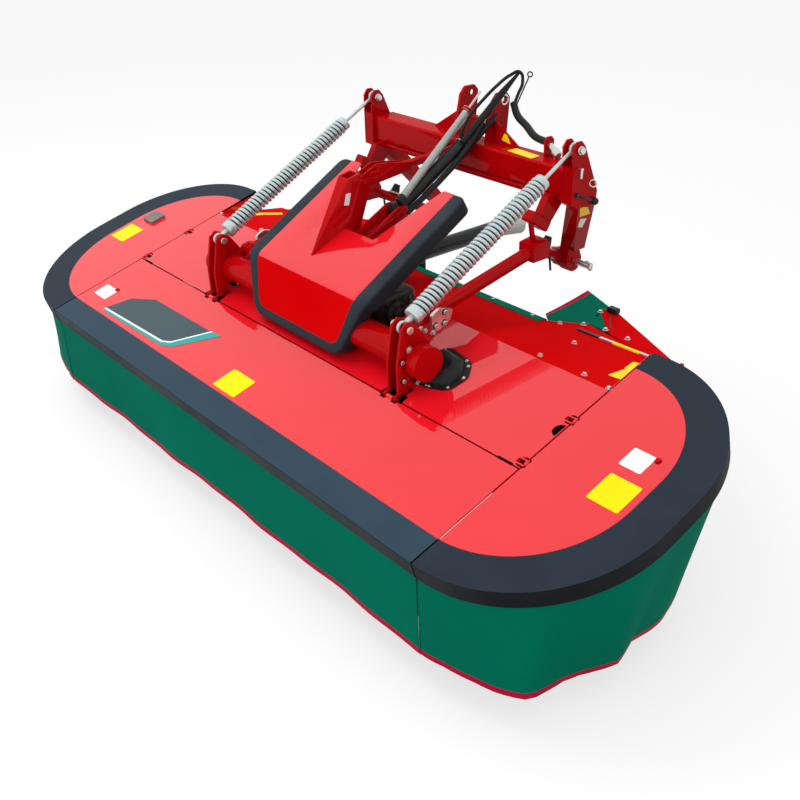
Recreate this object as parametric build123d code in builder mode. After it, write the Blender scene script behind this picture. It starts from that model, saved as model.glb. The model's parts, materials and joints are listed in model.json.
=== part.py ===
from build123d import *
import os
from math import cos, radians, sin, tan

# Front-mounted disc mower with a tine conditioner, parked on its skids and two stands.
# Millimetres. X runs across with its right end at +X, +Y points back to the tractor and
# +Z up. Every y and z below is measured from the front cover's seam on the deck.

# Driving dimensions of the covers
deck_tilt = 16.0
seam_height = 600.0
cover_seam = 1180.0
seam_gap = 6.0
panel = 5.0
fit_gap = 0.3
rim_height = 64.0
rim_wall = 6.0
rim_front = 446.0
rim_rear = 645.0
rim_side = 1687.0
rim_front_radius = 500.0
rim_rear_radius = 450.0
red_front = 338.0
red_rear = 550.0
red_side = 1557.0
red_front_radius = 400.0
red_rear_radius = 360.0
hinge_lift = 2.0
hinge_pin = 4.0
hinge_ring = 7.5
hinge_width = 30.0
hinge_notch = 16.0
side_hinge_lift = 1.0
side_hinge_pin = 2.5
side_hinge_ring = 5.0
side_hinge_width = 16.0
ear_width = 5.0
ear_length = 46.0
ear_notch = 8.0
curtain = 8.0
curtain_inset = 2.0
hem_height = 130.0
side_curtain_end = 1330.0

# Deck and rear hood
crease = 420.0
hood_slope = 8.0
hood_middle = 300.0
hood_corner = 440.0
hood_middle_half = 600.0
hood_corner_half = 720.0
hood_side = 350.0
lip = 22.0
flap_drop = 190.0
flap_reach = 60.0
hole_radius = 22.0
hole_places = (28.0, 250.0)
slot_width = 84.0
slot_length = 72.0

# Cutter bar, discs and skids
disc_count = 8
disc_pitch = 385.0
disc_line = -80.0
bar_end = 142.5
bar_front = 135.0
bar_rear = 130.0
bar_bottom = 36.0
bar_top = 88.0
boss_radius = 62.0
boss_height = 8.0
disc_reach = 165.0
disc_round = 90.0
disc_thickness = 10.0
dome_radius = 62.0
dome_height = 36.0
blade_thickness = 4.0
blade_width = 46.0
blade_inner = 128.0
blade_tip = 240.0
blades = 3
skid_width = 300.0
skid_front = 168.0
skid_rear = 150.0

# Conditioner
rotor_y = 420.0
rotor_height = 360.0
rotor_radius = 75.0
rotor_end_gap = 60.0
rotor_shaft = 25.0
tine_tip = 250.0
tine_width = 46.0
tine_thickness = 14.0
tine_lean = 12.0
tine_stations = 20
tine_rows = 3
shell_radius = 285.0
shell_start = 55.0
shell_sweep = 112.0
side_plate_x = 1150.0
side_plate = 10.0
bearing_radius = 48.0

# Main beam, carrier tube and spring brackets
beam_half = 60.0
beam_y = 60.0
beam_top = -28.0
carrier_y = 100.0
carrier_z = 118.0
carrier_radius = 55.0
carrier_half = 610.0
drum_radius = 62.0
drum_length = 52.0
bracket_x = 575.0
bracket_gap = 40.0
bracket_plate = 10.0
spring_low_y = 60.0
spring_low_z = 240.0
spring_high_y = 875.0
spring_high_z = 683.0
spring_pin = 9.0
spring_radius = 34.0
spring_wire = 6.0
coil_start = 62.0
coil_end = 745.0
coil_turns = 18

# Headstock
lower_pin_y = 1100.0
lower_pin_z = 150.0
lower_pin_radius = 14.2
lower_pin_outer = 500.0
shoulder = 412.5
shoulder_radius = 18.0
shoulder_inner = 312.0
mast_height = 610.0
top_pin_y = 1000.0
top_pin_radius = 12.9
tower_x = 90.0
tower_plate = 14.0
tower_front = 938.0
tower_rear = 1030.0
tower_rise = 28.0
crossbeam_y = 915.0
crossbeam_z = 554.0
crossbeam_depth = 110.0
crossbeam_height = 106.0
upright_width = 56.0
upright_front = 845.0
upright_rear = 985.0
foot_width = 46.0
foot_round = 44.0
foot_depth = 62.0
eye_width = 44.0
leg_width = 76.0
leg_depth = 96.0
leg_top = 84.0
leg_top_y = 930.0
leg_end = 58.0

# Linkage
arm_x = 500.0
arm_radius = 25.0
arm_rear_radius = 20.0
arm_rear_run = 0.8
arm_eye_radius = 38.0
arm_eye_half = 24.0
arm_lug = 10.0
side_clearance = 2.0
arm_pivot_y = 165.0
arm_pivot_z = 190.0
knee_y = 770.0
knee_z = 310.0
link_x = -50.0
link_front_y = 385.0
link_front_z = 530.0
link_rear_y = 805.0
link_rear_z = 556.0
link_radius = 17.0
mast_plate = 10.0
mast_gap = 44.0
cylinder_x = 50.0
cylinder_low_y = 480.0
cylinder_low_z = 418.0
cylinder_high_y = 945.0
cylinder_high_z = 680.0
cylinder_radius = 26.0
cylinder_rod = 15.0
cylinder_lug = 34.0
cylinder_pin = 11.0
sleeve_end_y = 944.0
sleeve_end_z = 656.0
lug_plate = 10.0
gauge_x = -3.0
gauge_low_y = 566.0
gauge_low_z = 430.0
gauge_high_y = 900.0
gauge_high_z = 722.0
gauge_radius = 13.5
gauge_ring = 21.0
gauge_rod = 4.5
gauge_rod_length = 88.0
gauge_eye = 17.0
gauge_pin = 7.0
bumper_radius = 21.0
bumper_height = 36.0
bumper_along = 0.3

# Hydraulic hoses over the tower and the sleeve that leads them to the couplers
hose_radius = 7.0
sleeve_radius = 16.0
port_radius = 11.0
hose_plate = 8.0
hose_plate_x = 388.0

# Cowl over the gearbox
cowl_half = 366.0
cowl_bottom_half = 268.0
cowl_front_y = 8.0
cowl_front_z = 33.0
cowl_bend_y = 66.0
cowl_bend_z = 248.0
cowl_rear_y = 545.0
cowl_rear_z = 525.0
cowl_band = 68.0
cowl_depth = 62.0
cowl_wall = 8.0
notch_front_y = 285.0
notch_front_half = 150.0
notch_rear_half = 248.0

# Drive
shaft_z = 190.0
gearbox_half = 130.0
gearbox_front = 235.0
gearbox_rear = 405.0
gearbox_height = 175.0
nose_end = 560.0
shaft_radius = 17.45
yoke_radius = 44.0
guard_radius = 34.0
guard_start = 640.0
guard_end = 1130.0
shaft_end = 1200.0

# Parking stands
stand_y = 745.0
stand_size = 50.0
stand_top = 420.0
sleeve_wall = 5.0
sleeve_low = 235.0
sleeve_high = 430.0
foot_plate = 8.0
foot_plate_size = 120.0
foot_plate_width = 80.0
foot_plate_shift = 15.0

# Swath boards
board_outer_y = 815.0
board_inner_x = 690.0
board_inner_y = 1022.0
cloth_inner_x = 500.0
cloth_inner_y = 1096.0
board_top = 52.0
board_bottom = -430.0
board_plate = 5.0
board_cut_x = 662.0
board_cut_y = 975.0
board_corner_x = 826.0
board_corner_y = 836.0
cloth_front_x = 540.0
cloth_front_y = 800.0
cloth_gap = 12.0
boot_thickness = 4.0
boot_height = 52.0

tilt = radians(deck_tilt)
seam_y = (rim_front * cos(tilt) - shaft_end) / 2
seam_z = seam_height
top_pin_z = lower_pin_z + mast_height
ground = -seam_z

deck = Plane(origin=(0, seam_y, seam_z), x_dir=(1, 0, 0), z_dir=(0, -sin(tilt), cos(tilt)))
level = Plane(origin=(0, seam_y, seam_z))
side = Plane(origin=(0, seam_y, seam_z), x_dir=(0, 1, 0), z_dir=(1, 0, 0))
facing = Plane(origin=(0, seam_y, seam_z), x_dir=(1, 0, 0), z_dir=(0, -1, 0))
crease_y = crease * cos(tilt)
crease_z = crease * sin(tilt)
slope = radians(hood_slope)
hood = Plane(
    origin=(0, seam_y + crease_y, seam_z + crease_z),
    x_dir=(1, 0, 0),
    z_dir=(0, sin(slope), cos(slope)),
)
mitre = Plane(
    origin=hood.origin,
    x_dir=(1, 0, 0),
    z_dir=Vector(1, 0, 0).cross(deck.z_dir + hood.z_dir) * -1,
)
sides = (("left", -1), ("right", 1))
rotor_half = side_plate_x - side_plate / 2 - rotor_end_gap
bar_half = (disc_count - 1) / 2 * disc_pitch + bar_end
side_start = cover_seam + seam_gap / 2
bore_half = stand_size / 2 + fit_gap
sleeve_half = bore_half + sleeve_wall
stand_x = side_plate_x - side_plate / 2 - sleeve_half
board_outer_x = side_plate_x - side_plate / 2 - fit_gap
foot_x = shoulder - foot_width / 2

os.makedirs("parts", exist_ok=True)


def save(name, builder):
    """Label the finished piece and write its file."""
    builder.part.label = name
    export_step(builder.part, f"parts/{name}.step")


def point(x, y, z):
    """Place given from the seam, in the model's frame."""
    return Vector(x, seam_y + y, seam_z + z)


def planform(front, rear, half, front_radius, rear_radius):
    """Rounded outline of the covers, seen square to the deck."""
    with BuildSketch() as outline:
        with Locations((0, (rear - front) / 2)):
            Rectangle(2 * half, front + rear)
        fillet(outline.vertices().group_by(Axis.Y)[0], front_radius)
        fillet(outline.vertices().group_by(Axis.Y)[-1], rear_radius)
    return outline.sketch


def plate(points, start, thickness, mode=Mode.ADD, rounding=0.0):
    """Upright plate with a side-view outline, from x = start."""
    with BuildSketch(side.offset(start)) as outline:
        with BuildLine():
            Polyline(*points, close=True)
        make_face()
        if rounding:
            fillet(outline.vertices(), rounding)
    extrude(outline.sketch, amount=thickness, dir=(1, 0, 0), mode=mode)


def rod(start, end, radius, mode=Mode.ADD):
    """Round bar between two places."""
    axis = end - start
    with BuildSketch(Plane(origin=start, z_dir=axis)) as section:
        Circle(radius)
    extrude(section.sketch, amount=axis.length, dir=axis, mode=mode)


def pin(x_start, x_end, y, z, radius, mode=Mode.ADD):
    """Round bar lying across the machine."""
    rod(point(x_start, y, z), point(x_end, y, z), radius, mode)


rim_outline = planform(rim_front, rim_rear, rim_side, rim_front_radius, rim_rear_radius)
rim_inside = planform(
    rim_front - rim_wall,
    rim_rear - rim_wall,
    rim_side - rim_wall,
    rim_front_radius - rim_wall,
    rim_rear_radius - rim_wall,
)
red_outline = planform(red_front, red_rear, red_side, red_front_radius, red_rear_radius)

# The curtains hang straight down, so their outline is the skirt's lower edge seen from above
skirt_shift = rim_height * sin(tilt)
hang_front = rim_front * cos(tilt) - skirt_shift - curtain_inset
hang_rear = rim_rear * cos(tilt) + skirt_shift - curtain_inset
hang_side = rim_side - curtain_inset
curtain_outside = planform(hang_front, hang_rear, hang_side, rim_front_radius, rim_rear_radius)
curtain_inside = planform(
    hang_front - curtain,
    hang_rear - curtain,
    hang_side - curtain,
    rim_front_radius - curtain,
    rim_rear_radius - curtain,
)
middle = 2 * cover_seam - seam_gap
side_span = rim_side - side_start
tall = 2 * (rim_front + rim_rear)

# Front cover: red panel, rim and curtain that lift together about the seam
with BuildPart() as front_cover:
    with BuildSketch(deck):
        with Locations((0, -(red_front + seam_gap / 2) / 2)):
            Rectangle(middle, red_front - seam_gap / 2)
        with Locations(*[(sign * bracket_x, -hinge_notch / 2) for _, sign in sides]):
            Rectangle(slot_width, hinge_notch, mode=Mode.SUBTRACT)
        with Locations(*[(sign * bracket_x, -hinge_notch / 2 - 1) for _, sign in sides]):
            Rectangle(hinge_width, hinge_notch)
    extrude(amount=-panel)
    for _, sign in sides:
        knuckle = deck.from_local_coords(Vector(sign * bracket_x - hinge_width / 2, 0, hinge_lift))
        across = Vector(hinge_width, 0, 0)
        rod(knuckle, knuckle + across, hinge_ring)
        rod(knuckle - across, knuckle + 2 * across, hinge_pin + fit_gap, Mode.SUBTRACT)
save("front_cover", front_cover)

with BuildPart() as front_rim:
    with BuildSketch(deck):
        with Locations((0, -(rim_front + red_front) / 2 - fit_gap / 2)):
            Rectangle(middle, rim_front - red_front - fit_gap)
    extrude(amount=-panel)
    with BuildSketch(deck.offset(-panel)):
        with Locations((0, -rim_front + rim_wall / 2)):
            Rectangle(middle, rim_wall)
    extrude(amount=panel - rim_height)
    fillet(front_rim.edges().filter_by(Axis.X).group_by(Axis.Y)[0].sort_by(Axis.Z)[-1], panel * 0.8)
save("front_rim", front_rim)

with BuildPart() as front_curtain:
    with BuildSketch(Plane.XY.offset(hem_height)):
        with Locations((0, seam_y - hang_front + curtain / 2)):
            Rectangle(middle, curtain)
    extrude(amount=seam_height)
    split(bisect_by=deck.offset(-rim_height - fit_gap), keep=Keep.BOTTOM)
save("front_curtain", front_curtain)

# Side covers, mirrored by their side
for name, sign in sides:
    with BuildPart() as side_cover:
        with BuildSketch(deck):
            add(red_outline)
            with Locations((sign * (side_start + side_span / 2), 0)):
                Rectangle(side_span, tall, mode=Mode.INTERSECT)
            with Locations(*[(sign * side_start, place) for place in hole_places]):
                Rectangle(2 * ear_notch, side_hinge_width + 4 * ear_width, mode=Mode.SUBTRACT)
            with Locations(*[(sign * (side_start + ear_notch / 2), place) for place in hole_places]):
                Rectangle(ear_notch, side_hinge_width)
        extrude(amount=-panel)
        for place in hole_places:
            knuckle = Vector(sign * side_start, place - side_hinge_width / 2, side_hinge_lift)
            start = deck.from_local_coords(knuckle)
            along = deck.y_dir * side_hinge_width
            rod(start, start + along, side_hinge_ring)
            rod(start - along, start + 2 * along, side_hinge_pin + fit_gap, Mode.SUBTRACT)
    save(f"side_cover_{name}", side_cover)

    with BuildPart() as side_rim:
        with BuildSketch(deck):
            add(rim_outline)
            offset(red_outline, amount=fit_gap, mode=Mode.SUBTRACT)
            with Locations((sign * (side_start + side_span / 2), 0)):
                Rectangle(side_span, tall, mode=Mode.INTERSECT)
        extrude(amount=-panel)
        with BuildSketch(deck.offset(-panel)):
            add(rim_outline)
            add(rim_inside, mode=Mode.SUBTRACT)
            with Locations((sign * (side_start + side_span / 2), 0)):
                Rectangle(side_span, tall, mode=Mode.INTERSECT)
        extrude(amount=panel - rim_height)
    save(f"side_rim_{name}", side_rim)

    with BuildPart() as side_curtain:
        with BuildSketch(Plane.XY.offset(hem_height)):
            with Locations((0, seam_y)):
                add(curtain_outside)
                add(curtain_inside, mode=Mode.SUBTRACT)
            with Locations((sign * (side_start + side_span / 2), seam_y)):
                Rectangle(side_span, tall, mode=Mode.INTERSECT)
            with Locations((sign * (side_start + side_curtain_end) / 2, seam_y + hang_rear)):
                Rectangle(side_curtain_end - side_start, 4 * curtain, mode=Mode.SUBTRACT)
        extrude(amount=2 * seam_height)
        split(bisect_by=deck.offset(-rim_height - fit_gap), keep=Keep.BOTTOM)
    save(f"side_curtain_{name}", side_curtain)

# Fixed deck panel behind the seam, with a slot at the seam for each spring bracket
with BuildPart() as deck_panel:
    with BuildSketch(deck):
        with Locations((0, (crease + seam_gap / 2) / 2)):
            Rectangle(middle, crease - seam_gap / 2)
        with Locations(*[(sign * bracket_x, slot_length / 2) for _, sign in sides]):
            Rectangle(slot_width, slot_length, mode=Mode.SUBTRACT)
        for place in hole_places:
            with Locations((cover_seam - hole_radius / 2, place), (hole_radius / 2 - cover_seam, place)):
                Circle(hole_radius, mode=Mode.SUBTRACT)
        ear_centre = side_start + side_hinge_pin + 1 - ear_length / 2
        ears = [
            (sign * ear_centre, place + end * (side_hinge_width + ear_width + 2) / 2)
            for _, sign in sides
            for place in hole_places
            for end in (-1, 1)
        ]
        with Locations(*ears):
            Rectangle(ear_length, ear_width)
    extrude(amount=-panel)
    for _, sign in sides:
        for place in hole_places:
            reach = side_hinge_width / 2 + ear_width + 1
            knuckle = Vector(sign * side_start, place - reach, side_hinge_lift)
            start = deck.from_local_coords(knuckle)
            rod(start, start + deck.y_dir * 2 * reach, side_hinge_pin)
    split(bisect_by=mitre.offset(-fit_gap / 2), keep=Keep.BOTTOM)
save("deck_panel", deck_panel)

hood_half = middle / 2
hood_edge = (
    (-hood_half, 0),
    (hood_half, 0),
    (hood_half, hood_side),
    (hood_corner_half, hood_corner),
    (hood_middle_half, hood_middle),
    (-hood_middle_half, hood_middle),
    (-hood_corner_half, hood_corner),
    (-hood_half, hood_side),
)
with BuildPart() as rear_hood:
    with BuildSketch(hood):
        with BuildLine():
            Polyline(*hood_edge, close=True)
        make_face()
    extrude(amount=-panel)
    with BuildSketch(hood.offset(-panel)):
        with Locations((0, hood_middle - panel / 2)):
            Rectangle(2 * hood_middle_half, panel)
    extrude(amount=-lip)
    split(bisect_by=mitre.offset(fit_gap / 2), keep=Keep.TOP)
save("rear_hood", rear_hood)

with BuildPart() as rear_flap:
    with BuildSketch(hood.offset(fit_gap)):
        with Locations((0, hood_middle + flap_reach / 2 - lip)):
            Rectangle(2 * hood_middle_half - 2 * lip, flap_reach)
    extrude(amount=panel)
    with BuildSketch(hood.offset(fit_gap)):
        with Locations((0, hood_middle + flap_reach - lip - panel / 2)):
            Rectangle(2 * hood_middle_half - 2 * lip, panel)
    extrude(amount=-flap_drop)
save("rear_flap", rear_flap)

# Cutter bar with a boss under each disc
disc_places = [(i - (disc_count - 1) / 2) * disc_pitch for i in range(disc_count)]
bar_outline = (
    (disc_line - bar_front, ground + bar_bottom + 14),
    (disc_line - bar_front + 26, ground + bar_bottom),
    (disc_line + bar_rear, ground + bar_bottom),
    (disc_line + bar_rear, ground + bar_top),
    (disc_line - bar_front + 44, ground + bar_top),
)
with BuildPart() as cutter_bar:
    plate(bar_outline, -bar_half, 2 * bar_half)
    with BuildSketch(Plane.XY.offset(bar_top)):
        with Locations(*[(x, seam_y + disc_line) for x in disc_places]):
            Circle(boss_radius)
    extrude(amount=boss_height)
save("cutter_bar", cutter_bar)

# Skids under the bar, one below each disc, curved up at the front
skid_low = ground
skid_seat = ground + bar_bottom - fit_gap
skid_outline = (
    (disc_line - skid_front, skid_seat + 22),
    (disc_line - skid_front + 36, skid_low + 8),
    (disc_line - skid_front + 66, skid_low),
    (disc_line + skid_rear - 30, skid_low),
    (disc_line + skid_rear, skid_seat),
    (disc_line - skid_front + 62, skid_seat),
    (disc_line - skid_front + 44, skid_low + 20),
    (disc_line - skid_front + 10, skid_seat + 26),
)
with BuildPart() as skids:
    for x in disc_places:
        plate(skid_outline, x - skid_width / 2, skid_width)
save("skids", skids)

# Mowing discs: three-lobed plate, dome and three blades, kept in step by the bar's gears
disc_z = bar_top + boss_height + fit_gap
blade_z = disc_z + 4.0
plate_z = blade_z + blade_thickness
for i, x in enumerate(disc_places):
    with BuildPart() as disc:
        with BuildSketch(Plane.XY.offset(plate_z)) as lobes:
            with Locations((x, seam_y + disc_line)):
                RegularPolygon(disc_reach + disc_round, blades)
            fillet(lobes.vertices(), disc_round)
        extrude(amount=disc_thickness)
        with BuildSketch(Plane.XY.offset(disc_z)):
            with Locations((x, seam_y + disc_line)):
                Circle(boss_radius - 6)
        extrude(amount=plate_z - disc_z)
        with BuildSketch(Plane.XY.offset(plate_z + disc_thickness)):
            with Locations((x, seam_y + disc_line)):
                Circle(dome_radius)
        extrude(amount=dome_height, taper=28)
        with BuildSketch(Plane.XY.offset(blade_z)):
            with Locations((x, seam_y + disc_line)):
                with PolarLocations((blade_inner + blade_tip) / 2, blades):
                    Rectangle(blade_tip - blade_inner, blade_width)
        extrude(amount=blade_thickness)
    save(f"disc_{i + 1}", disc)

# Conditioner: rotor with tines, curved shell over it and the two side plates
rotor_z = ground + rotor_height
rotor_pitch = 2 * (rotor_half - tine_width) / (tine_stations - 1)
tine_rooted = rotor_radius - 12
with BuildPart() as conditioner_rotor:
    pin(-rotor_half, rotor_half, rotor_y, rotor_z, rotor_radius)
    shaft_half = side_plate_x + side_plate / 2
    pin(-shaft_half, shaft_half, rotor_y, rotor_z, rotor_shaft)
    for station in range(tine_stations):
        x = -rotor_half + tine_width + station * rotor_pitch
        for row in range(tine_rows):
            angle = row * 360 / tine_rows + station * 180 / tine_rows
            with BuildSketch(side.offset(x - tine_width / 2)) as tine:
                with Locations((rotor_y, rotor_z)):
                    with Locations(Location((0, 0, 0), (0, 0, angle))):
                        with Locations(Location((tine_rooted, 0, 0), (0, 0, -tine_lean))):
                            Rectangle(
                                tine_tip - tine_rooted,
                                tine_thickness,
                                align=(Align.MIN, Align.CENTER),
                            )
            extrude(amount=tine_width)
save("conditioner_rotor", conditioner_rotor)

shell_half = side_plate_x - side_plate / 2 - fit_gap
with BuildPart() as conditioner_shell:
    with BuildSketch(side.offset(-shell_half)):
        with BuildLine():
            outer = CenterArc((rotor_y, rotor_z), shell_radius + panel, shell_start, shell_sweep)
            inner = CenterArc((rotor_y, rotor_z), shell_radius, shell_start, shell_sweep)
            Line(outer @ 0, inner @ 0)
            Line(outer @ 1, inner @ 1)
        make_face()
    extrude(amount=2 * shell_half)
save("conditioner_shell", conditioner_shell)

under_deck = (panel + fit_gap) / cos(tilt)
under_hood = (panel + fit_gap) / cos(slope)
hood_rear_y = crease_y + hood_side * cos(slope)
hood_rear_z = crease_z - hood_side * sin(slope)
bar_seat = disc_line + bar_rear + fit_gap
side_plate_outline = (
    (bar_seat, ground + 46),
    (bar_seat, ground + bar_top - 4),
    (bar_seat + 45, ground + bar_top - 4),
    (bar_seat + 45, ground + 230),
    (0, ground + 390),
    (0, -under_deck),
    (crease_y, crease_z - under_deck),
    (hood_rear_y, hood_rear_z - under_hood),
    (board_outer_y + 30, hood_rear_z - under_hood - 14),
    (board_outer_y + 30, -250),
    (rotor_y + 220, ground + 110),
    (rotor_y - 60, ground + 46),
)
for name, sign in sides:
    inner_face = sign * side_plate_x - side_plate / 2
    with BuildPart() as side_frame:
        plate(side_plate_outline, inner_face, side_plate)
        pin(
            inner_face - 8 * (1 - sign) / 2,
            inner_face + side_plate + 8 * (1 + sign) / 2,
            rotor_y,
            rotor_z,
            bearing_radius,
        )
        pin(
            inner_face - 30,
            inner_face + side_plate + 30,
            rotor_y,
            rotor_z,
            rotor_shaft + 0.05,
            Mode.SUBTRACT,
        )
        with BuildSketch(Plane.XY.offset(sleeve_low)):
            with Locations((sign * stand_x, seam_y + stand_y)):
                Rectangle(2 * sleeve_half, 2 * sleeve_half)
                Rectangle(2 * bore_half, 2 * bore_half, mode=Mode.SUBTRACT)
        extrude(amount=sleeve_high - sleeve_low)
    save(f"side_frame_{name}", side_frame)

    with BuildPart() as stand:
        with BuildSketch():
            with Locations((sign * (stand_x - foot_plate_shift), seam_y + stand_y)):
                Rectangle(foot_plate_width, foot_plate_size)
        extrude(amount=foot_plate)
        with BuildSketch(Plane.XY.offset(foot_plate)):
            with Locations((sign * stand_x, seam_y + stand_y)):
                Rectangle(stand_size, stand_size)
        extrude(amount=stand_top - foot_plate)
    save(f"stand_{name}", stand)

# Main beam under the deck, between the side frames
with BuildPart() as main_beam:
    beam_end = side_plate_x - side_plate / 2 - fit_gap
    beam_outline = (
        (beam_y - beam_half, beam_top - 2 * beam_half),
        (beam_y + beam_half, beam_top - 2 * beam_half),
        (beam_y + beam_half, beam_top),
        (beam_y - beam_half, beam_top),
    )
    plate(beam_outline, -beam_end, 2 * beam_end, rounding=10)
save("main_beam", main_beam)

# Carrier tube over the deck with a drum at each end, and its bracket plates
with BuildPart() as carrier_tube:
    drum_end = carrier_half + drum_length
    pin(-drum_end, drum_end, carrier_y, carrier_z, carrier_radius)
    for _, sign in sides:
        pin(sign * carrier_half, sign * drum_end, carrier_y, carrier_z, drum_radius)
save("carrier_tube", carrier_tube)

bracket_outline = (
    (12, beam_top + fit_gap),
    (58, beam_top + fit_gap),
    (60, 45),
    (carrier_y + 66, carrier_z - 20),
    (carrier_y + 52, carrier_z + 50),
    (spring_low_y + 30, spring_low_z + 14),
    (spring_low_y, spring_low_z + 26),
    (spring_low_y - 26, spring_low_z + 6),
    (10, carrier_z),
)
for name, sign in sides:
    with BuildPart() as spring_bracket:
        for shift in (-1, 1):
            start = sign * bracket_x + shift * (bracket_gap + bracket_plate) / 2
            plate(bracket_outline, start - bracket_plate / 2, bracket_plate)
            ear = ((-7, -6), (20, -14), (20, 16), (-5, 12))
            plate(ear, start - bracket_plate / 2, bracket_plate)
        pin_reach = bracket_gap / 2 + bracket_plate + 8
        pin(
            sign * bracket_x - pin_reach,
            sign * bracket_x + pin_reach,
            spring_low_y,
            spring_low_z,
            spring_pin,
        )
        hinge = deck.from_local_coords(Vector(sign * bracket_x - pin_reach, 0, hinge_lift))
        rod(hinge, hinge + Vector(2 * pin_reach, 0, 0), hinge_pin)
        pin(
            sign * bracket_x - pin_reach,
            sign * bracket_x + pin_reach,
            carrier_y,
            carrier_z,
            carrier_radius + fit_gap,
            Mode.SUBTRACT,
        )
    save(f"spring_bracket_{name}", spring_bracket)

# Springs: ribbed body, one rib for each pair of turns, with a hook at both ends
spring_low = Vector(0, spring_low_y, spring_low_z)
spring_high = Vector(0, spring_high_y, spring_high_z)
spring_axis = (spring_high - spring_low).normalized()
spring_length = (spring_high - spring_low).length
rib_pitch = (coil_end - coil_start) / coil_turns
for name, sign in sides:
    base = point(sign * bracket_x, spring_low_y, spring_low_z)
    spring_plane = Plane(origin=base, x_dir=(1, 0, 0), z_dir=spring_axis)
    with BuildPart() as spring:
        with BuildSketch(Plane(origin=base, x_dir=(1, 0, 0), z_dir=spring_plane.y_dir * -1)):
            with BuildLine():
                ribs = [(0, coil_start)]
                for turn in range(coil_turns):
                    low = coil_start + turn * rib_pitch
                    ribs.append((spring_radius - spring_wire, low))
                    ribs.append((spring_radius, low + rib_pitch / 2))
                ribs.append((spring_radius - spring_wire, coil_end))
                ribs.append((0, coil_end))
                Polyline(*ribs, close=True)
            make_face()
        revolve(axis=Axis(base, spring_axis))
        rod(base + spring_axis * (spring_pin + 8), base + spring_axis * (coil_start + 5), 12)
        rod(
            base + spring_axis * (coil_end - 5),
            base + spring_axis * (spring_length - spring_pin - 6),
            7,
        )
        for place, outer_radius in ((spring_low, spring_pin + 14), (spring_high, spring_pin + 12)):
            hook = point(sign * bracket_x, place.Y, place.Z)
            with BuildSketch(Plane(origin=hook - Vector(8, 0, 0), z_dir=(1, 0, 0))):
                Circle(outer_radius)
            extrude(amount=16)
            with BuildSketch(Plane(origin=hook - Vector(15, 0, 0), z_dir=(1, 0, 0))):
                Circle(spring_pin + fit_gap)
            extrude(amount=30, mode=Mode.SUBTRACT)
    save(f"spring_{name}", spring)

# Headstock: cross beam, uprights with the spring pins, legs, tower and lower brace
upright_floor = crossbeam_z + crossbeam_height / 2 + 12
upright_top = spring_high_z + 30
upright_outline = (
    (upright_front, crossbeam_z - 70),
    (upright_front, spring_high_z + 6),
    (spring_high_y - 12, upright_top),
    (spring_high_y + 12, upright_top),
    (spring_high_y + 32, spring_high_z + 8),
    (upright_rear, crossbeam_z - 40),
    (980, crossbeam_z - 90),
    (880, crossbeam_z - 90),
)
beam_roof = crossbeam_z + crossbeam_height / 2
beam_rear = crossbeam_y + crossbeam_depth / 2
foot_outline = (
    (lower_pin_y - foot_round, lower_pin_z),
    (lower_pin_y - 6 - foot_depth / 2, lower_pin_z + leg_end + 2),
    (lower_pin_y - 6 + foot_depth / 2, lower_pin_z + leg_end + 2),
    (lower_pin_y + foot_round, lower_pin_z),
)
tower_outline = (
    (tower_front - 36, beam_roof - 6),
    (beam_rear - 4, beam_roof - 6),
    (tower_rear - 14, beam_roof + 18),
    (tower_rear, top_pin_z - 14),
    (tower_rear, top_pin_z + 8),
    (tower_rear - 18, top_pin_z + tower_rise),
    (tower_front + 26, top_pin_z + tower_rise),
    (tower_front, top_pin_z),
)
hose_bracket = (
    (sleeve_end_y - 24, beam_roof - 4),
    (sleeve_end_y + 24, beam_roof - 4),
    (sleeve_end_y + 24, sleeve_end_z + 10),
    (sleeve_end_y + 12, sleeve_end_z + 24),
    (sleeve_end_y - 12, sleeve_end_z + 24),
    (sleeve_end_y - 24, sleeve_end_z + 10),
)
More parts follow.
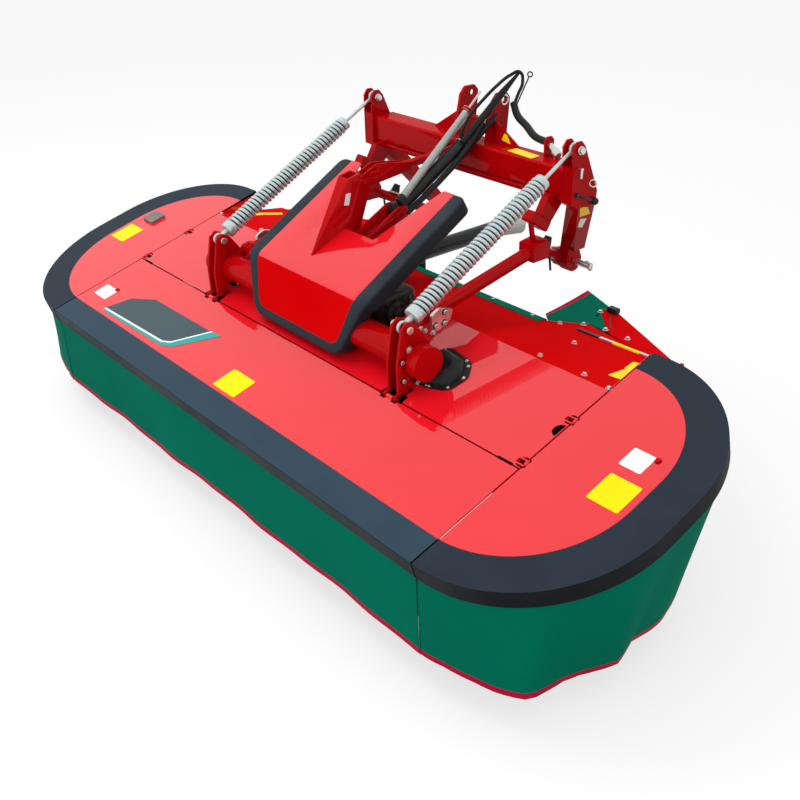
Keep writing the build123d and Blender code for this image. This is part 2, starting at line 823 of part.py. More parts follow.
with BuildPart() as headstock:
    beam_inner = bracket_x - upright_width / 2
    with BuildSketch(side.offset(-beam_inner - 4)) as section:
        with Locations((crossbeam_y, crossbeam_z)):
            RectangleRounded(crossbeam_depth, crossbeam_height, 10)
    extrude(amount=2 * beam_inner + 8)
    for _, sign in sides:
        plate(upright_outline, sign * bracket_x - upright_width / 2, upright_width)
        plate(
            (
                (upright_front - 10, upright_floor),
                (upright_front - 10, upright_top + 10),
                (upright_rear + 10, upright_top + 10),
                (upright_rear + 10, upright_floor),
            ),
            sign * bracket_x - bracket_gap / 2,
            bracket_gap,
            Mode.SUBTRACT,
        )
        pin(
            sign * bracket_x - upright_width / 2 - 10,
            sign * bracket_x + upright_width / 2 + 10,
            spring_high_y,
            spring_high_z,
            spring_pin,
        )
        with BuildSketch(level.offset(crossbeam_z - leg_top)):
            with Locations((sign * bracket_x, leg_top_y)):
                Rectangle(upright_width, leg_depth)
        with BuildSketch(level.offset(lower_pin_z + leg_end)):
            with Locations((sign * (shoulder - foot_width + leg_width / 2), lower_pin_y - 6)):
                Rectangle(leg_width, foot_depth)
        loft()
        foot_start = sign * foot_x - foot_width / 2
        plate(foot_outline, foot_start, foot_width)
        pin(foot_start, foot_start + foot_width, lower_pin_y, lower_pin_z, foot_round)
        pin(sign * shoulder, sign * lower_pin_outer, lower_pin_y, lower_pin_z, lower_pin_radius)
        pin(sign * shoulder_inner, sign * shoulder, lower_pin_y, lower_pin_z, shoulder_radius)
        tower_start = sign * tower_x - tower_plate / 2
        plate(tower_outline, tower_start, tower_plate)
        pin(
            tower_start - 10,
            tower_start + tower_plate + 10,
            top_pin_y,
            top_pin_z,
            top_pin_radius,
            Mode.SUBTRACT,
        )
        pin(
            sign * (beam_inner - 2),
            0,
            crossbeam_y - 42,
            crossbeam_z - crossbeam_height / 2 - 13,
            12.5,
        )
        with BuildSketch(facing.offset(-(crossbeam_y + 30))) as gusset:
            with BuildLine():
                Polyline(
                    (sign * tower_x, beam_roof - 2),
                    (sign * 250, beam_roof - 2),
                    (sign * (tower_x + 6), top_pin_z - 60),
                    (sign * tower_x, top_pin_z - 60),
                    close=True,
                )
            make_face()
        extrude(amount=8)
        stop_plate = (
            (815, crossbeam_z - 50),
            (900, crossbeam_z - 50),
            (900, crossbeam_z - 80),
            (822, 392),
            (775, 392),
            (770, 430),
        )
        plate(stop_plate, sign * arm_x - 16, 32)
    for shift in (-1, 1):
        lug_start = link_x + shift * (mast_gap / 2 + 6) - 5
        lug = (
            (link_rear_y - 22, link_rear_z - 22),
            (crossbeam_y - 50, link_rear_z - 40),
            (crossbeam_y - 50, link_rear_z + 40),
            (link_rear_y - 22, link_rear_z + 22),
        )
        plate(lug, lug_start, 10)
    pin(link_x - 36, link_x + 36, link_rear_y, link_rear_z, 10)
    pin(-tower_x, tower_x, cylinder_high_y, cylinder_high_z, cylinder_pin)
    plate(hose_bracket, hose_plate_x, hose_plate)
save("headstock", headstock)

# Link mast: folded fin on the carrier tube that holds the upper link and the lift cylinder
mast_outline = (
    (carrier_y - 30, carrier_z + 30),
    (150, 300),
    (link_front_y - 70, link_front_z + 26),
    (link_front_y - 20, link_front_z + 36),
    (link_front_y + 24, link_front_z + 10),
    (link_front_y + 20, link_front_z - 40),
    (345, 330),
    (330, 292),
    (190, 256),
    (carrier_y + 62, carrier_z + 40),
    (carrier_y + 40, carrier_z),
)
with BuildPart() as link_mast:
    for shift in (-1, 1):
        start = link_x + shift * (mast_gap + mast_plate) / 2 - mast_plate / 2
        plate(mast_outline, start, mast_plate)
    front_web = (
        (carrier_y - 30, carrier_z + 30),
        (150, 300),
        (link_front_y - 70, link_front_z + 26),
        (link_front_y - 62, link_front_z + 20),
        (160, 296),
        (carrier_y - 18, carrier_z + 30),
    )
    plate(front_web, link_x - mast_gap / 2 - 1, mast_gap + 2)
    pin(link_x - 40, link_x + 40, link_front_y, link_front_z, 10)
    cylinder_arm = (
        (215, 268),
        (330, 292),
        (cylinder_low_y + 24, cylinder_low_z - 20),
        (cylinder_low_y + 20, cylinder_low_z + 22),
        (cylinder_low_y - 20, cylinder_low_z + 22),
        (225, 318),
    )
    for shift in (-1, 1):
        plate(cylinder_arm, cylinder_x + shift * cylinder_lug - lug_plate / 2, lug_plate)
    lug_end = cylinder_lug + lug_plate
    pin(cylinder_x - lug_end, cylinder_x + lug_end, cylinder_low_y, cylinder_low_z, cylinder_pin)
    gauge_lug = (
        (cylinder_low_y, cylinder_low_z - 20),
        (gauge_low_y + 12, gauge_low_z - 14),
        (gauge_low_y + 12, gauge_low_z + 12),
        (cylinder_low_y, cylinder_low_z + 22),
    )
    gauge_lug_x = cylinder_x - cylinder_lug - lug_plate / 2
    plate(gauge_lug, gauge_lug_x, lug_plate)
    pin(gauge_x - gauge_pin, gauge_lug_x + lug_plate, gauge_low_y, gauge_low_z, gauge_pin)
    tie = ((230, 276), (300, 290), (296, 326), (240, 316))
    plate(tie, link_x, cylinder_x - link_x + 30)
    pin(link_x - 60, link_x + 60, carrier_y, carrier_z, carrier_radius + fit_gap, Mode.SUBTRACT)
save("link_mast", link_mast)

with BuildPart() as upper_link:
    eye_half = mast_gap / 2 - fit_gap
    pin(link_x - eye_half, link_x + eye_half, link_front_y, link_front_z, 24)
    pin(link_x - eye_half, link_x + eye_half, link_rear_y, link_rear_z, 24)
    rod(
        point(link_x, link_front_y, link_front_z),
        point(link_x, link_rear_y, link_rear_z),
        link_radius,
    )
    fork_outline = (
        (link_front_y - 16, link_front_z - 22),
        (link_front_y + 4, link_front_z + 24),
        (link_front_y + 70, link_front_z + 52),
        (link_front_y + 112, link_front_z + 48),
        (link_front_y + 238, link_front_z + 28),
        (link_front_y + 238, link_front_z - 2),
        (link_front_y + 60, link_front_z - 22),
    )
    for shift in (-1, 1):
        plate(fork_outline, link_x + shift * 17 - 4, 8)
    pin(link_x - 60, link_x + 60, link_front_y + 58, link_front_z + 30, 9, Mode.SUBTRACT)
    for y, z in ((link_front_y, link_front_z), (link_rear_y, link_rear_z)):
        pin(link_x - 60, link_x + 60, y, z, 10 + fit_gap, Mode.SUBTRACT)
save("upper_link", upper_link)

# Lower arms: bent tube from the carrier tube's lugs over the knee to the hitch pin
for name, sign in sides:
    eye_half = eye_width / 2
    eye_x = sign * (shoulder - foot_width - fit_gap - eye_half)
    front_eye = point(sign * arm_x, arm_pivot_y, arm_pivot_z)
    knee = point(sign * arm_x, knee_y, knee_z)
    rear_eye = point(eye_x, lower_pin_y, lower_pin_z)
    with BuildPart() as lower_arm:
        pin(sign * arm_x - arm_eye_half, sign * arm_x + arm_eye_half, arm_pivot_y, arm_pivot_z, 28)
        rod(front_eye, knee, arm_radius)
        rod(knee, knee + (rear_eye - knee) * arm_rear_run, arm_rear_radius)
        eye_plate = (
            (lower_pin_y - 90, lower_pin_z + 20),
            (lower_pin_y - 72, lower_pin_z + 58),
            (lower_pin_y + 8, lower_pin_z + 34),
            (lower_pin_y - 10, lower_pin_z - 34),
        )
        plate(eye_plate, eye_x - eye_half, 2 * eye_half)
        pin(eye_x - eye_half, eye_x + eye_half, lower_pin_y, lower_pin_z, arm_eye_radius)
        knee_box = (
            (knee_y - 46, knee_z - 34),
            (knee_y + 34, knee_z - 34),
            (knee_y + 44, knee_z + 10),
            (knee_y + 30, knee_z + 40),
            (knee_y - 46, knee_z + 30),
        )
        plate(knee_box, sign * arm_x - 38, 76)
        pin(
            sign * arm_x - 30,
            sign * arm_x + 30,
            arm_pivot_y,
            arm_pivot_z,
            12 + fit_gap,
            Mode.SUBTRACT,
        )
        pin(
            eye_x - eye_width,
            eye_x + eye_width,
            lower_pin_y,
            lower_pin_z,
            shoulder_radius + fit_gap,
            Mode.SUBTRACT,
        )
    save(f"lower_arm_{name}", lower_arm)

    rear_run = rear_eye - knee
    upward = Vector(1, 0, 0).cross(rear_run).normalized()
    seat = knee + rear_run * bumper_along + upward * (arm_rear_radius + fit_gap)
    with BuildPart() as bump_stop:
        rod(seat, seat + upward * 6, bumper_radius + 5)
        with BuildSketch(Plane(origin=seat + upward * 5, z_dir=upward)):
            Circle(bumper_radius)
        extrude(amount=bumper_height, taper=12)
    save(f"bump_stop_{name}", bump_stop)

    with BuildPart() as arm_bracket:
        arm_lug_outline = (
            (carrier_y + 20, carrier_z + 20),
            (carrier_y + 52, carrier_z + 16),
            (arm_pivot_y + 20, arm_pivot_z - 14),
            (arm_pivot_y + 20, arm_pivot_z + 16),
            (arm_pivot_y - 20, arm_pivot_z + 18),
            (carrier_y + 10, carrier_z + 52),
        )
        lug_shift = arm_radius + side_clearance + arm_lug / 2
        for shift in (-1, 1):
            plate(arm_lug_outline, sign * arm_x + shift * lug_shift - arm_lug / 2, arm_lug)
        pin(sign * arm_x - 40, sign * arm_x + 40, arm_pivot_y, arm_pivot_z, 12)
        pin(
            sign * arm_x - 60,
            sign * arm_x + 60,
            carrier_y,
            carrier_z,
            carrier_radius + fit_gap,
            Mode.SUBTRACT,
        )
    save(f"arm_bracket_{name}", arm_bracket)

# Lift cylinder, its rod and the height gauge beside it
low_eye = point(cylinder_x, cylinder_low_y, cylinder_low_z)
high_eye = point(cylinder_x, cylinder_high_y, cylinder_high_z)
lift_axis = (high_eye - low_eye).normalized()
lift_length = (high_eye - low_eye).length
upright = Vector(0, 0, 1)
port_height = cylinder_radius + 18
with BuildPart() as lift_cylinder:
    pin(cylinder_x - 28, cylinder_x + 28, cylinder_low_y, cylinder_low_z, 24)
    rod(low_eye, low_eye + lift_axis * (lift_length - 130), cylinder_radius)
    rod(low_eye, low_eye + lift_axis * (lift_length - 100), cylinder_rod + fit_gap, Mode.SUBTRACT)
    pin(
        cylinder_x - 60,
        cylinder_x + 60,
        cylinder_low_y,
        cylinder_low_z,
        cylinder_pin + fit_gap,
        Mode.SUBTRACT,
    )
    port = low_eye + lift_axis * (lift_length - 150)
    rod(port + upright * cylinder_radius, port + upright * port_height, port_radius)
save("lift_cylinder", lift_cylinder)

with BuildPart() as lift_rod:
    rod(low_eye + lift_axis * 60, high_eye, cylinder_rod)
    pin(cylinder_x - 24, cylinder_x + 24, cylinder_high_y, cylinder_high_z, 24)
    pin(
        cylinder_x - 60,
        cylinder_x + 60,
        cylinder_high_y,
        cylinder_high_z,
        cylinder_pin + fit_gap,
        Mode.SUBTRACT,
    )
save("lift_rod", lift_rod)

gauge_low = point(gauge_x, gauge_low_y, gauge_low_z)
gauge_high = point(gauge_x, gauge_high_y, gauge_high_z)
gauge_axis = (gauge_high - gauge_low).normalized()
with BuildPart() as height_gauge:
    pin(gauge_x - 6, gauge_lug_x - fit_gap, gauge_low_y, gauge_low_z, gauge_eye)
    rod(gauge_low, gauge_high, gauge_radius)
    rod(gauge_high - gauge_axis * 14, gauge_high, gauge_ring)
    rod(gauge_high, gauge_high + gauge_axis * gauge_rod_length, gauge_rod)
    pin(gauge_x - 60, gauge_x + 60, gauge_low_y, gauge_low_z, gauge_pin + fit_gap, Mode.SUBTRACT)
save("height_gauge", height_gauge)


def hose(route, radius):
    """Round hose along straight runs joined by arcs as large as the runs allow."""
    runs = [(end - start).length for start, end in zip(route, route[1:])]
    radii = []
    for i in range(1, len(route) - 1):
        turn = radians((route[i] - route[i - 1]).get_angle(route[i + 1] - route[i]))
        radii.append(0.45 * min(runs[i - 1], runs[i]) / tan(turn / 2))
    print("hose radii", [round(value) for value in radii])
    with BuildLine() as path:
        FilletPolyline(*route, radius=radii)
    with BuildSketch(Plane(origin=route[0], z_dir=route[1] - route[0])) as section:
        Circle(radius)
    sweep(section.sketch, path=path.line)


sleeve_route = [
    point(182, 1030, 696),
    point(252, 978, 676),
    point(318, sleeve_end_y, sleeve_end_z),
    point(hose_plate_x - fit_gap, sleeve_end_y, sleeve_end_z),
]
port_top = port + upright * (port_height + fit_gap)
sleeve_way = (sleeve_route[1] - sleeve_route[0]).normalized()
hose_meet = sleeve_route[0] - sleeve_way * fit_gap
lift_route = [
    port_top,
    port_top + upright * 60,
    point(57, 860, 778),
    point(68, 925, 826),
    point(80, 992, 852),
    point(92, 1053, 852),
    point(100, 1102, 812),
    point(110, 1112, 750),
    hose_meet - sleeve_way * 70,
    hose_meet,
]
with BuildPart() as hose_sleeve:
    hose(sleeve_route, sleeve_radius)
save("hose_sleeve", hose_sleeve)
with BuildPart() as lift_hose:
    hose(lift_route, hose_radius)
save("lift_hose", lift_hose)

# Cowl: tapered front face, sloping top with two arms, black band round it
cowl_face = ((cowl_front_y, cowl_front_z), (cowl_bend_y, cowl_bend_z), (cowl_rear_y, cowl_rear_z))


def cowl_section(outer, inner):
    """Closed side-view band of the cowl between two depths under its surface."""
    run_front = Vector(cowl_face[1]) - Vector(cowl_face[0])
    run_top = Vector(cowl_face[2]) - Vector(cowl_face[1])
    normals = []
    for run in (run_front, run_top):
        unit = run.normalized()
        normals.append(Vector(unit.Y, -unit.X))
    bisector = (normals[0] + normals[1]).normalized()
    reach = 1 / bisector.dot(normals[0])
    rows = []
    for depth in (outer, inner):
        rows.append(
            [
                Vector(cowl_face[0]) + normals[0] * depth,
                Vector(cowl_face[1]) + bisector * (depth * reach),
                Vector(cowl_face[2]) + normals[1] * depth,
            ]
        )
    corners = rows[0] + rows[1][::-1]
    return [(corner.X, corner.Y) for corner in corners]


def cowl_body(outer, inner, half, bottom_half, bottom_z, rounding):
    """Bent band as wide as the top, narrowed below the bend."""
    plate(cowl_section(outer, inner), -half - 50, 2 * half + 100)
    with BuildSketch(facing.offset(-700)) as outline:
        with BuildLine():
            Polyline(
                (-bottom_half, bottom_z),
                (bottom_half, bottom_z),
                (half, cowl_bend_z),
                (half, 700),
                (-half, 700),
                (-half, cowl_bend_z),
                close=True,
            )
        make_face()
        fillet(outline.vertices().group_by(Axis.Y)[0], rounding)
    extrude(outline.sketch, amount=1400, dir=(0, -1, 0), mode=Mode.INTERSECT)


def notch_outline(inset):
    """Opening between the cowl's two arms, seen from above."""
    return (
        (-notch_front_half + inset, notch_front_y + inset),
        (notch_front_half - inset, notch_front_y + inset),
        (notch_rear_half - inset, cowl_rear_y + 10),
        (notch_rear_half - inset, 700),
        (-notch_rear_half + inset, 700),
        (-notch_rear_half + inset, cowl_rear_y + 10),
    )


with BuildPart() as cowl_hollow:
    cowl_body(
        panel + 4,
        cowl_depth + 20,
        cowl_half - cowl_wall,
        cowl_bottom_half - cowl_wall,
        cowl_front_z + cowl_wall,
        40,
    )

with BuildPart() as cowl_window:
    cowl_body(-10, panel + 5, cowl_half - cowl_band, cowl_bottom_half - 20, cowl_front_z + 40, 16)

with BuildPart() as cowl_trim:
    cowl_body(0, cowl_depth, cowl_half, cowl_bottom_half, cowl_front_z - 2, 46)
    add(cowl_hollow.part, mode=Mode.SUBTRACT)
    add(cowl_window.part, mode=Mode.SUBTRACT)
    pin(-cowl_half - 5, cowl_half + 5, carrier_y, carrier_z, carrier_radius + fit_gap, Mode.SUBTRACT)
save("cowl_trim", cowl_trim)

with BuildPart() as cowl_panel:
    cowl_body(
        1,
        1 + panel,
        cowl_half - cowl_band - fit_gap,
        cowl_bottom_half - 20 - fit_gap,
        cowl_front_z + 40 + fit_gap,
        16,
    )
    with BuildSketch(level):
        with BuildLine():
            Polyline(*notch_outline(0), close=True)
        make_face()
    extrude(amount=800, mode=Mode.SUBTRACT)
    with BuildSketch(level):
        with Locations((link_x, 200)):
            Rectangle(mast_gap + 2 * mast_plate + 6, 220)
    extrude(amount=800, mode=Mode.SUBTRACT)
save("cowl_panel", cowl_panel)

# Gearbox on the deck under the cowl, with its input nose and the drive shaft
with BuildPart() as gearbox:
    with BuildSketch(deck.offset(fit_gap)):
        with Locations((0, (gearbox_front + gearbox_rear) / 2)):
            RectangleRounded(2 * gearbox_half, gearbox_rear - gearbox_front, 24)
    extrude(amount=gearbox_height, taper=4)
    rod(point(0, 330, shaft_z), point(0, nose_end, shaft_z), 58)
save("gearbox", gearbox)

with BuildPart() as drive_shaft:
    rod(point(0, nose_end + fit_gap, shaft_z), point(0, nose_end + 70, shaft_z), yoke_radius)
    rod(point(0, nose_end + 60, shaft_z), point(0, shaft_end, shaft_z), 24)
    rod(point(0, guard_end + 8, shaft_z), point(0, shaft_end, shaft_z), yoke_radius)
    rod(point(0, guard_end + 20, shaft_z), point(0, shaft_end + 1, shaft_z), shaft_radius, Mode.SUBTRACT)
save("drive_shaft", drive_shaft)

with BuildPart() as shaft_guard:
    rod(point(0, guard_start, shaft_z), point(0, guard_end, shaft_z), guard_radius)
    rod(point(0, guard_start - 1, shaft_z), point(0, guard_end + 1, shaft_z), 24 + fit_gap, Mode.SUBTRACT)
save("shaft_guard", shaft_guard)

# Rubber boot on the deck outside each drum
boot_width = 62.0
boot_round = 16.0
boot_length = 150.0
boot_x = carrier_half + drum_length + 6 + boot_width / 2
boot_v = 178.0
boot_outline = (
    (carrier_half + drum_length - 40, 198),
    (carrier_half + drum_length + 2, 94),
    (carrier_half + drum_length + 56, 96),
    (carrier_half + drum_length + 84, 150),
    (carrier_half + drum_length + 84, 240),
    (carrier_half + drum_length + 44, 278),
    (bracket_x - 40, 304),
    (bracket_x - 46, 262),
)

# Swath boards: upright plate behind each side frame, red top plate and green cloth
for name, sign in sides:
    board_top_points = (
        (sign * board_outer_x, board_outer_y),
        (sign * board_inner_x, board_inner_y),
        (sign * board_inner_x, board_inner_y - board_plate - fit_gap),
        (sign * board_cut_x, board_cut_y),
        (sign * board_corner_x, board_corner_y),
        (sign * (board_outer_x - 10), crease_y + hood_side + 20),
    )
    with BuildPart() as swath_board:
        with BuildSketch(level.offset(board_bottom)):
            with BuildLine():
                Polyline(
                    (sign * board_outer_x, board_outer_y),
                    (sign * board_inner_x, board_inner_y),
                    (sign * board_inner_x, board_inner_y - board_plate),
                    (sign * board_outer_x, board_outer_y - board_plate),
                    close=True,
                )
            make_face()
        extrude(amount=board_top - board_bottom)
        with BuildSketch(level.offset(board_top)):
            with BuildLine():
                Polyline(*board_top_points, close=True)
            make_face()
        extrude(amount=-board_plate)
    save(f"swath_board_{name}", swath_board)

    with BuildPart() as swath_cloth:
        with BuildSketch(level.offset(board_bottom)):
            with BuildLine():
                Polyline(
                    (sign * (board_inner_x - fit_gap), board_inner_y),
                    (sign * cloth_inner_x, cloth_inner_y),
                    (sign * cloth_inner_x, cloth_inner_y - board_plate),
                    (sign * (board_inner_x - fit_gap), board_inner_y - board_plate),
                    close=True,
                )
            make_face()
        extrude(amount=board_top - board_bottom)
        with BuildSketch(level.offset(board_top)):
            with BuildLine():
                Polyline(
                    (sign * cloth_inner_x, cloth_inner_y),
                    (sign * (board_inner_x - fit_gap), board_inner_y),
                    (sign * (board_inner_x - fit_gap), board_inner_y - board_plate),
                    (sign * (board_cut_x - 2), board_cut_y - fit_gap),
                    (sign * (board_corner_x - 6), board_corner_y + 3),
                    (sign * (hood_corner_half + 2), crease_y + hood_corner + cloth_gap),
                    (sign * (hood_middle_half + 4), crease_y + hood_middle + lip + 2 * cloth_gap),
                    (sign * cloth_front_x, cloth_front_y),
                    close=True,
                )
            make_face()
        extrude(amount=-board_plate)
    save(f"swath_cloth_{name}", swath_cloth)

    with BuildPart() as boot:
        with BuildSketch(deck.offset(fit_gap)) as base:
            with BuildLine():
                Polyline(*[(sign * x, v) for x, v in boot_outline], close=True)
            make_face()
            fillet(base.vertices(), boot_round)
        extrude(amount=boot_thickness)
        with BuildSketch(deck.offset(fit_gap + boot_thickness)):
            with Locations((sign * boot_x, boot_v)):
                RectangleRounded(boot_width, boot_length, boot_round)
        extrude(amount=boot_height, taper=14)
    save(f"boot_{name}", boot)
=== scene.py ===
"""Looks of the front disc mower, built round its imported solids.

Lengths are metres in the frame of the solids. A place on the machine is given from the front
cover's seam on the deck: x across, y back and z up. On the deck it is x and v up the slope, on
the rear hood x and v behind the crease.
"""

import json
import logging
from abc import ABC, abstractmethod
from collections.abc import Callable, Iterable
from dataclasses import dataclass, field
from enum import Enum
from math import atan2, ceil, cos, pi, radians, sin, tan, tau

import bmesh
import bpy
from mathutils import Euler, Matrix, Vector


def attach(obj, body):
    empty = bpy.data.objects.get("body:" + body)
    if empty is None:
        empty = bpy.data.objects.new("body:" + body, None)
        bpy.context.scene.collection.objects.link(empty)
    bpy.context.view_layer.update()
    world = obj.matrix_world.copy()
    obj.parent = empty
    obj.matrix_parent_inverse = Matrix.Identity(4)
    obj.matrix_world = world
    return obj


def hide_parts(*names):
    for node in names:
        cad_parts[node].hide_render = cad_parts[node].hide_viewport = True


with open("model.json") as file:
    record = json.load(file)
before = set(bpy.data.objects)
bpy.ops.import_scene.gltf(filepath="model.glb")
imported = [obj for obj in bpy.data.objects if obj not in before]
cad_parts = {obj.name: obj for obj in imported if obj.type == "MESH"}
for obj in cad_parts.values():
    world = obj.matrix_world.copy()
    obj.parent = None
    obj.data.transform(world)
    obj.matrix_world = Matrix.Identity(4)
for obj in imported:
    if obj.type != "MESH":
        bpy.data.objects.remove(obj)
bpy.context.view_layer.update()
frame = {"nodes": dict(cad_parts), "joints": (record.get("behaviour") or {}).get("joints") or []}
report = logging.getLogger("mower")

joints = {joint["name"]: joint for joint in frame["joints"]}
hinge = joints["front_cover_hinge"]
side_hinge = joints["side_cover_right_hinge"]

ACROSS = Vector((1, 0, 0))
UP = Vector((0, 0, 1))
BACK = Vector((0, 1, 0))
WHITE = (1, 1, 1, 1)
MERGE = 0.00002
FACING = 0.9
BAR_SOFTNESS = 0.25
BAR_LIMIT = 0.2


class Side(Enum):
    """Halves of the machine, by the sign of x."""

    LEFT = -1
    RIGHT = 1


SIDES = tuple((side.name.lower(), side.value) for side in Side)


@dataclass
class Datum:
    """The deck's seam and slope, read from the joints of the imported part, and the hood behind it."""

    hinge_lift: float = 0.002
    crease_v: float = 0.42
    hood_angle: float = 8.0
    slope: Vector = field(default_factory=lambda: -Vector(side_hinge["axis"]).normalized())

    def __post_init__(self) -> None:
        """Finds the deck's directions and the seam."""
        if self.slope.y < 0:
            self.slope = -self.slope
        self.normal = ACROSS.cross(self.slope).normalized()
        self.tilt = atan2(self.slope.z, self.slope.y)
        centre = Vector(hinge["pos_m"])
        centre.x = 0
        self.seam = centre - self.normal * self.hinge_lift
        angle = radians(self.hood_angle)
        self.hood_slope = Vector((0, cos(angle), -sin(angle)))
        self.hood_normal = ACROSS.cross(self.hood_slope).normalized()
        self.crease = self.seam + self.slope * self.crease_v

    def at(self, x: float, y: float, z: float) -> Vector:
        """Place given from the seam."""
        return self.seam + Vector((x, y, z))

    def deck(self, x: float, v: float, lift: float = 0.0) -> Vector:
        """Place on the deck, v metres up its slope from the seam."""
        return self.seam + ACROSS * x + self.slope * v + self.normal * lift

    def hood(self, x: float, v: float, lift: float = 0.0) -> Vector:
        """Place on the rear hood, v metres behind the crease."""
        return self.crease + ACROSS * x + self.hood_slope * v + self.hood_normal * lift

    def all_at(self, places: Iterable[tuple]) -> list[Vector]:
        """Several places given from the seam."""
        return [self.at(*place) for place in places]

    def all_deck(self, outline: Iterable[tuple], sign: int = 1) -> list[Vector]:
        """Outline on the deck, mirrored for the other side by the sign."""
        return [self.deck(sign * x, v) for x, v in outline]

    def all_hood(self, outline: Iterable[tuple], sign: int = 1) -> list[Vector]:
        """Outline on the rear hood, mirrored for the other side by the sign."""
        return [self.hood(sign * x, v) for x, v in outline]


datum = Datum()


class Graph:
    """Node tree that is being filled."""

    def __init__(self, tree: bpy.types.NodeTree) -> None:
        """Keeps the tree.

        Args:
            tree: Tree of a material, world or group.
        """
        self.tree = tree
        self.tree.nodes.clear()

    def add(self, kind: str, inputs: dict | None = None, **settings) -> bpy.types.Node:
        """Adds a node.

        Args:
            kind: Name of the node's type after ShaderNode, or in full for a group's ends.
            inputs: Value or socket for each input, by its name or number.
            settings: Properties of the node.

        Returns:
            The new node.
        """
        name = kind if kind.startswith("Node") else "ShaderNode" + kind
        node = self.tree.nodes.new(name)
        for key, value in settings.items():
            setattr(node, key, value)
        for key, value in (inputs or {}).items():
            if isinstance(value, bpy.types.NodeSocket):
                self.tree.links.new(value, node.inputs[key])
            else:
                node.inputs[key].default_value = value
        return node

    def blend(self, mask: bpy.types.NodeSocket, low: tuple, high: tuple) -> bpy.types.NodeSocket:
        """Mixes two colours or sockets by a mask."""
        mix = self.add("Mix", data_type="RGBA")
        for name, value in (("A", low), ("B", high)):
            socket = [s for s in mix.inputs if s.name == name and s.type == "RGBA"][0]
            if isinstance(value, bpy.types.NodeSocket):
                self.tree.links.new(value, socket)
            else:
                socket.default_value = (*value, 1.0)
        self.tree.links.new(mask, mix.inputs[0])
        return [s for s in mix.outputs if s.type == "RGBA"][0]

    def scale(self, value: bpy.types.NodeSocket, low: float, high: float) -> bpy.types.NodeSocket:
        """Maps a mask from 0..1 to low..high."""
        return self.add("MapRange", {0: value, 3: low, 4: high}).outputs[0]

    def steepness(self) -> bpy.types.NodeSocket:
        """Height of the face's normal, which is 1 where the face looks straight up."""
        return self.add("SeparateXYZ", {0: self.add("NewGeometry").outputs["Normal"]}).outputs[2]

    def principled(self, inputs: dict, bump: dict) -> None:
        """Adds a principled shader with its bump and the material's output.

        Args:
            inputs: Value or socket for each input of the shader.
            bump: Value or socket for each input of the bump.
        """
        relief = self.add("Bump", bump)
        shader = self.add("BsdfPrincipled", {**inputs, "Normal": relief.outputs[0]})
        self.add("OutputMaterial", {0: shader.outputs[0]})


def new_group(name: str, inputs: tuple, outputs: tuple) -> tuple[bpy.types.NodeTree, Graph]:
    """Starts a shader node group.

    Args:
        name: The group's name.
        inputs: Name, socket type and default value of each input.
        outputs: Name and socket type of each output.

    Returns:
        The group's tree and its graph, with the group's own ends still to be placed.
    """
    tree = bpy.data.node_groups.new(name, "ShaderNodeTree")
    for label, kind, default in inputs:
        socket = tree.interface.new_socket(label, in_out="INPUT", socket_type=kind)
        if default is not None:
            socket.default_value = default
    for label, kind in outputs:
        tree.interface.new_socket(label, in_out="OUTPUT", socket_type=kind)
    return tree, Graph(tree)


FLOAT = "NodeSocketFloat"
VECTOR = "NodeSocketVector"


def mottle_group() -> bpy.types.NodeTree:
    """Slow change of tone with a fine grain, for paint, castings and moulded plastic.

    Returns:
        Group with Place, Size and Grain and the outputs Tone and Height.
    """
    inputs = (("Place", VECTOR, None), ("Size", FLOAT, 3.0), ("Grain", FLOAT, 400.0))
    tree, graph = new_group("mottle", inputs, (("Tone", FLOAT), ("Height", FLOAT)))
    start = graph.add("NodeGroupInput")
    slow = graph.add("TexNoise", {"Vector": start.outputs[0], "Scale": start.outputs[1], "Detail": 3.0})
    fine = graph.add("TexNoise", {"Vector": start.outputs[0], "Scale": start.outputs[2], "Detail": 2.0})
    tone = graph.add("MapRange", {0: slow.outputs["Fac"], 1: 0.3, 2: 0.7})
    graph.add("NodeGroupOutput", {0: tone.outputs[0], 1: fine.outputs["Fac"]})
    return tree


def dust_group() -> bpy.types.NodeTree:
    """Thin dust that lies on faces looking up, in soft patches.

    Returns:
        Group with Place, Patch and Amount and the output Dust.
    """
    inputs = (("Place", VECTOR, None), ("Patch", FLOAT, 5.0), ("Amount", FLOAT, 0.3))
    tree, graph = new_group("dust", inputs, (("Dust", FLOAT),))
    start = graph.add("NodeGroupInput")
    patches = graph.add("TexNoise", {"Vector": start.outputs[0], "Scale": start.outputs[1], "Detail": 5.0})
    cover = graph.add("MapRange", {0: patches.outputs["Fac"], 1: 0.42, 2: 0.78})
    upward = graph.add("MapRange", {0: graph.steepness(), 1: 0.1, 2: 1.0})
    both = graph.add("Math", {0: cover.outputs[0], 1: upward.outputs[0]}, operation="MULTIPLY")
    amount = graph.add("Math", {0: both.outputs[0], 1: start.outputs[2]}, operation="MULTIPLY")
    graph.add("NodeGroupOutput", {0: amount.outputs[0]})
    return tree


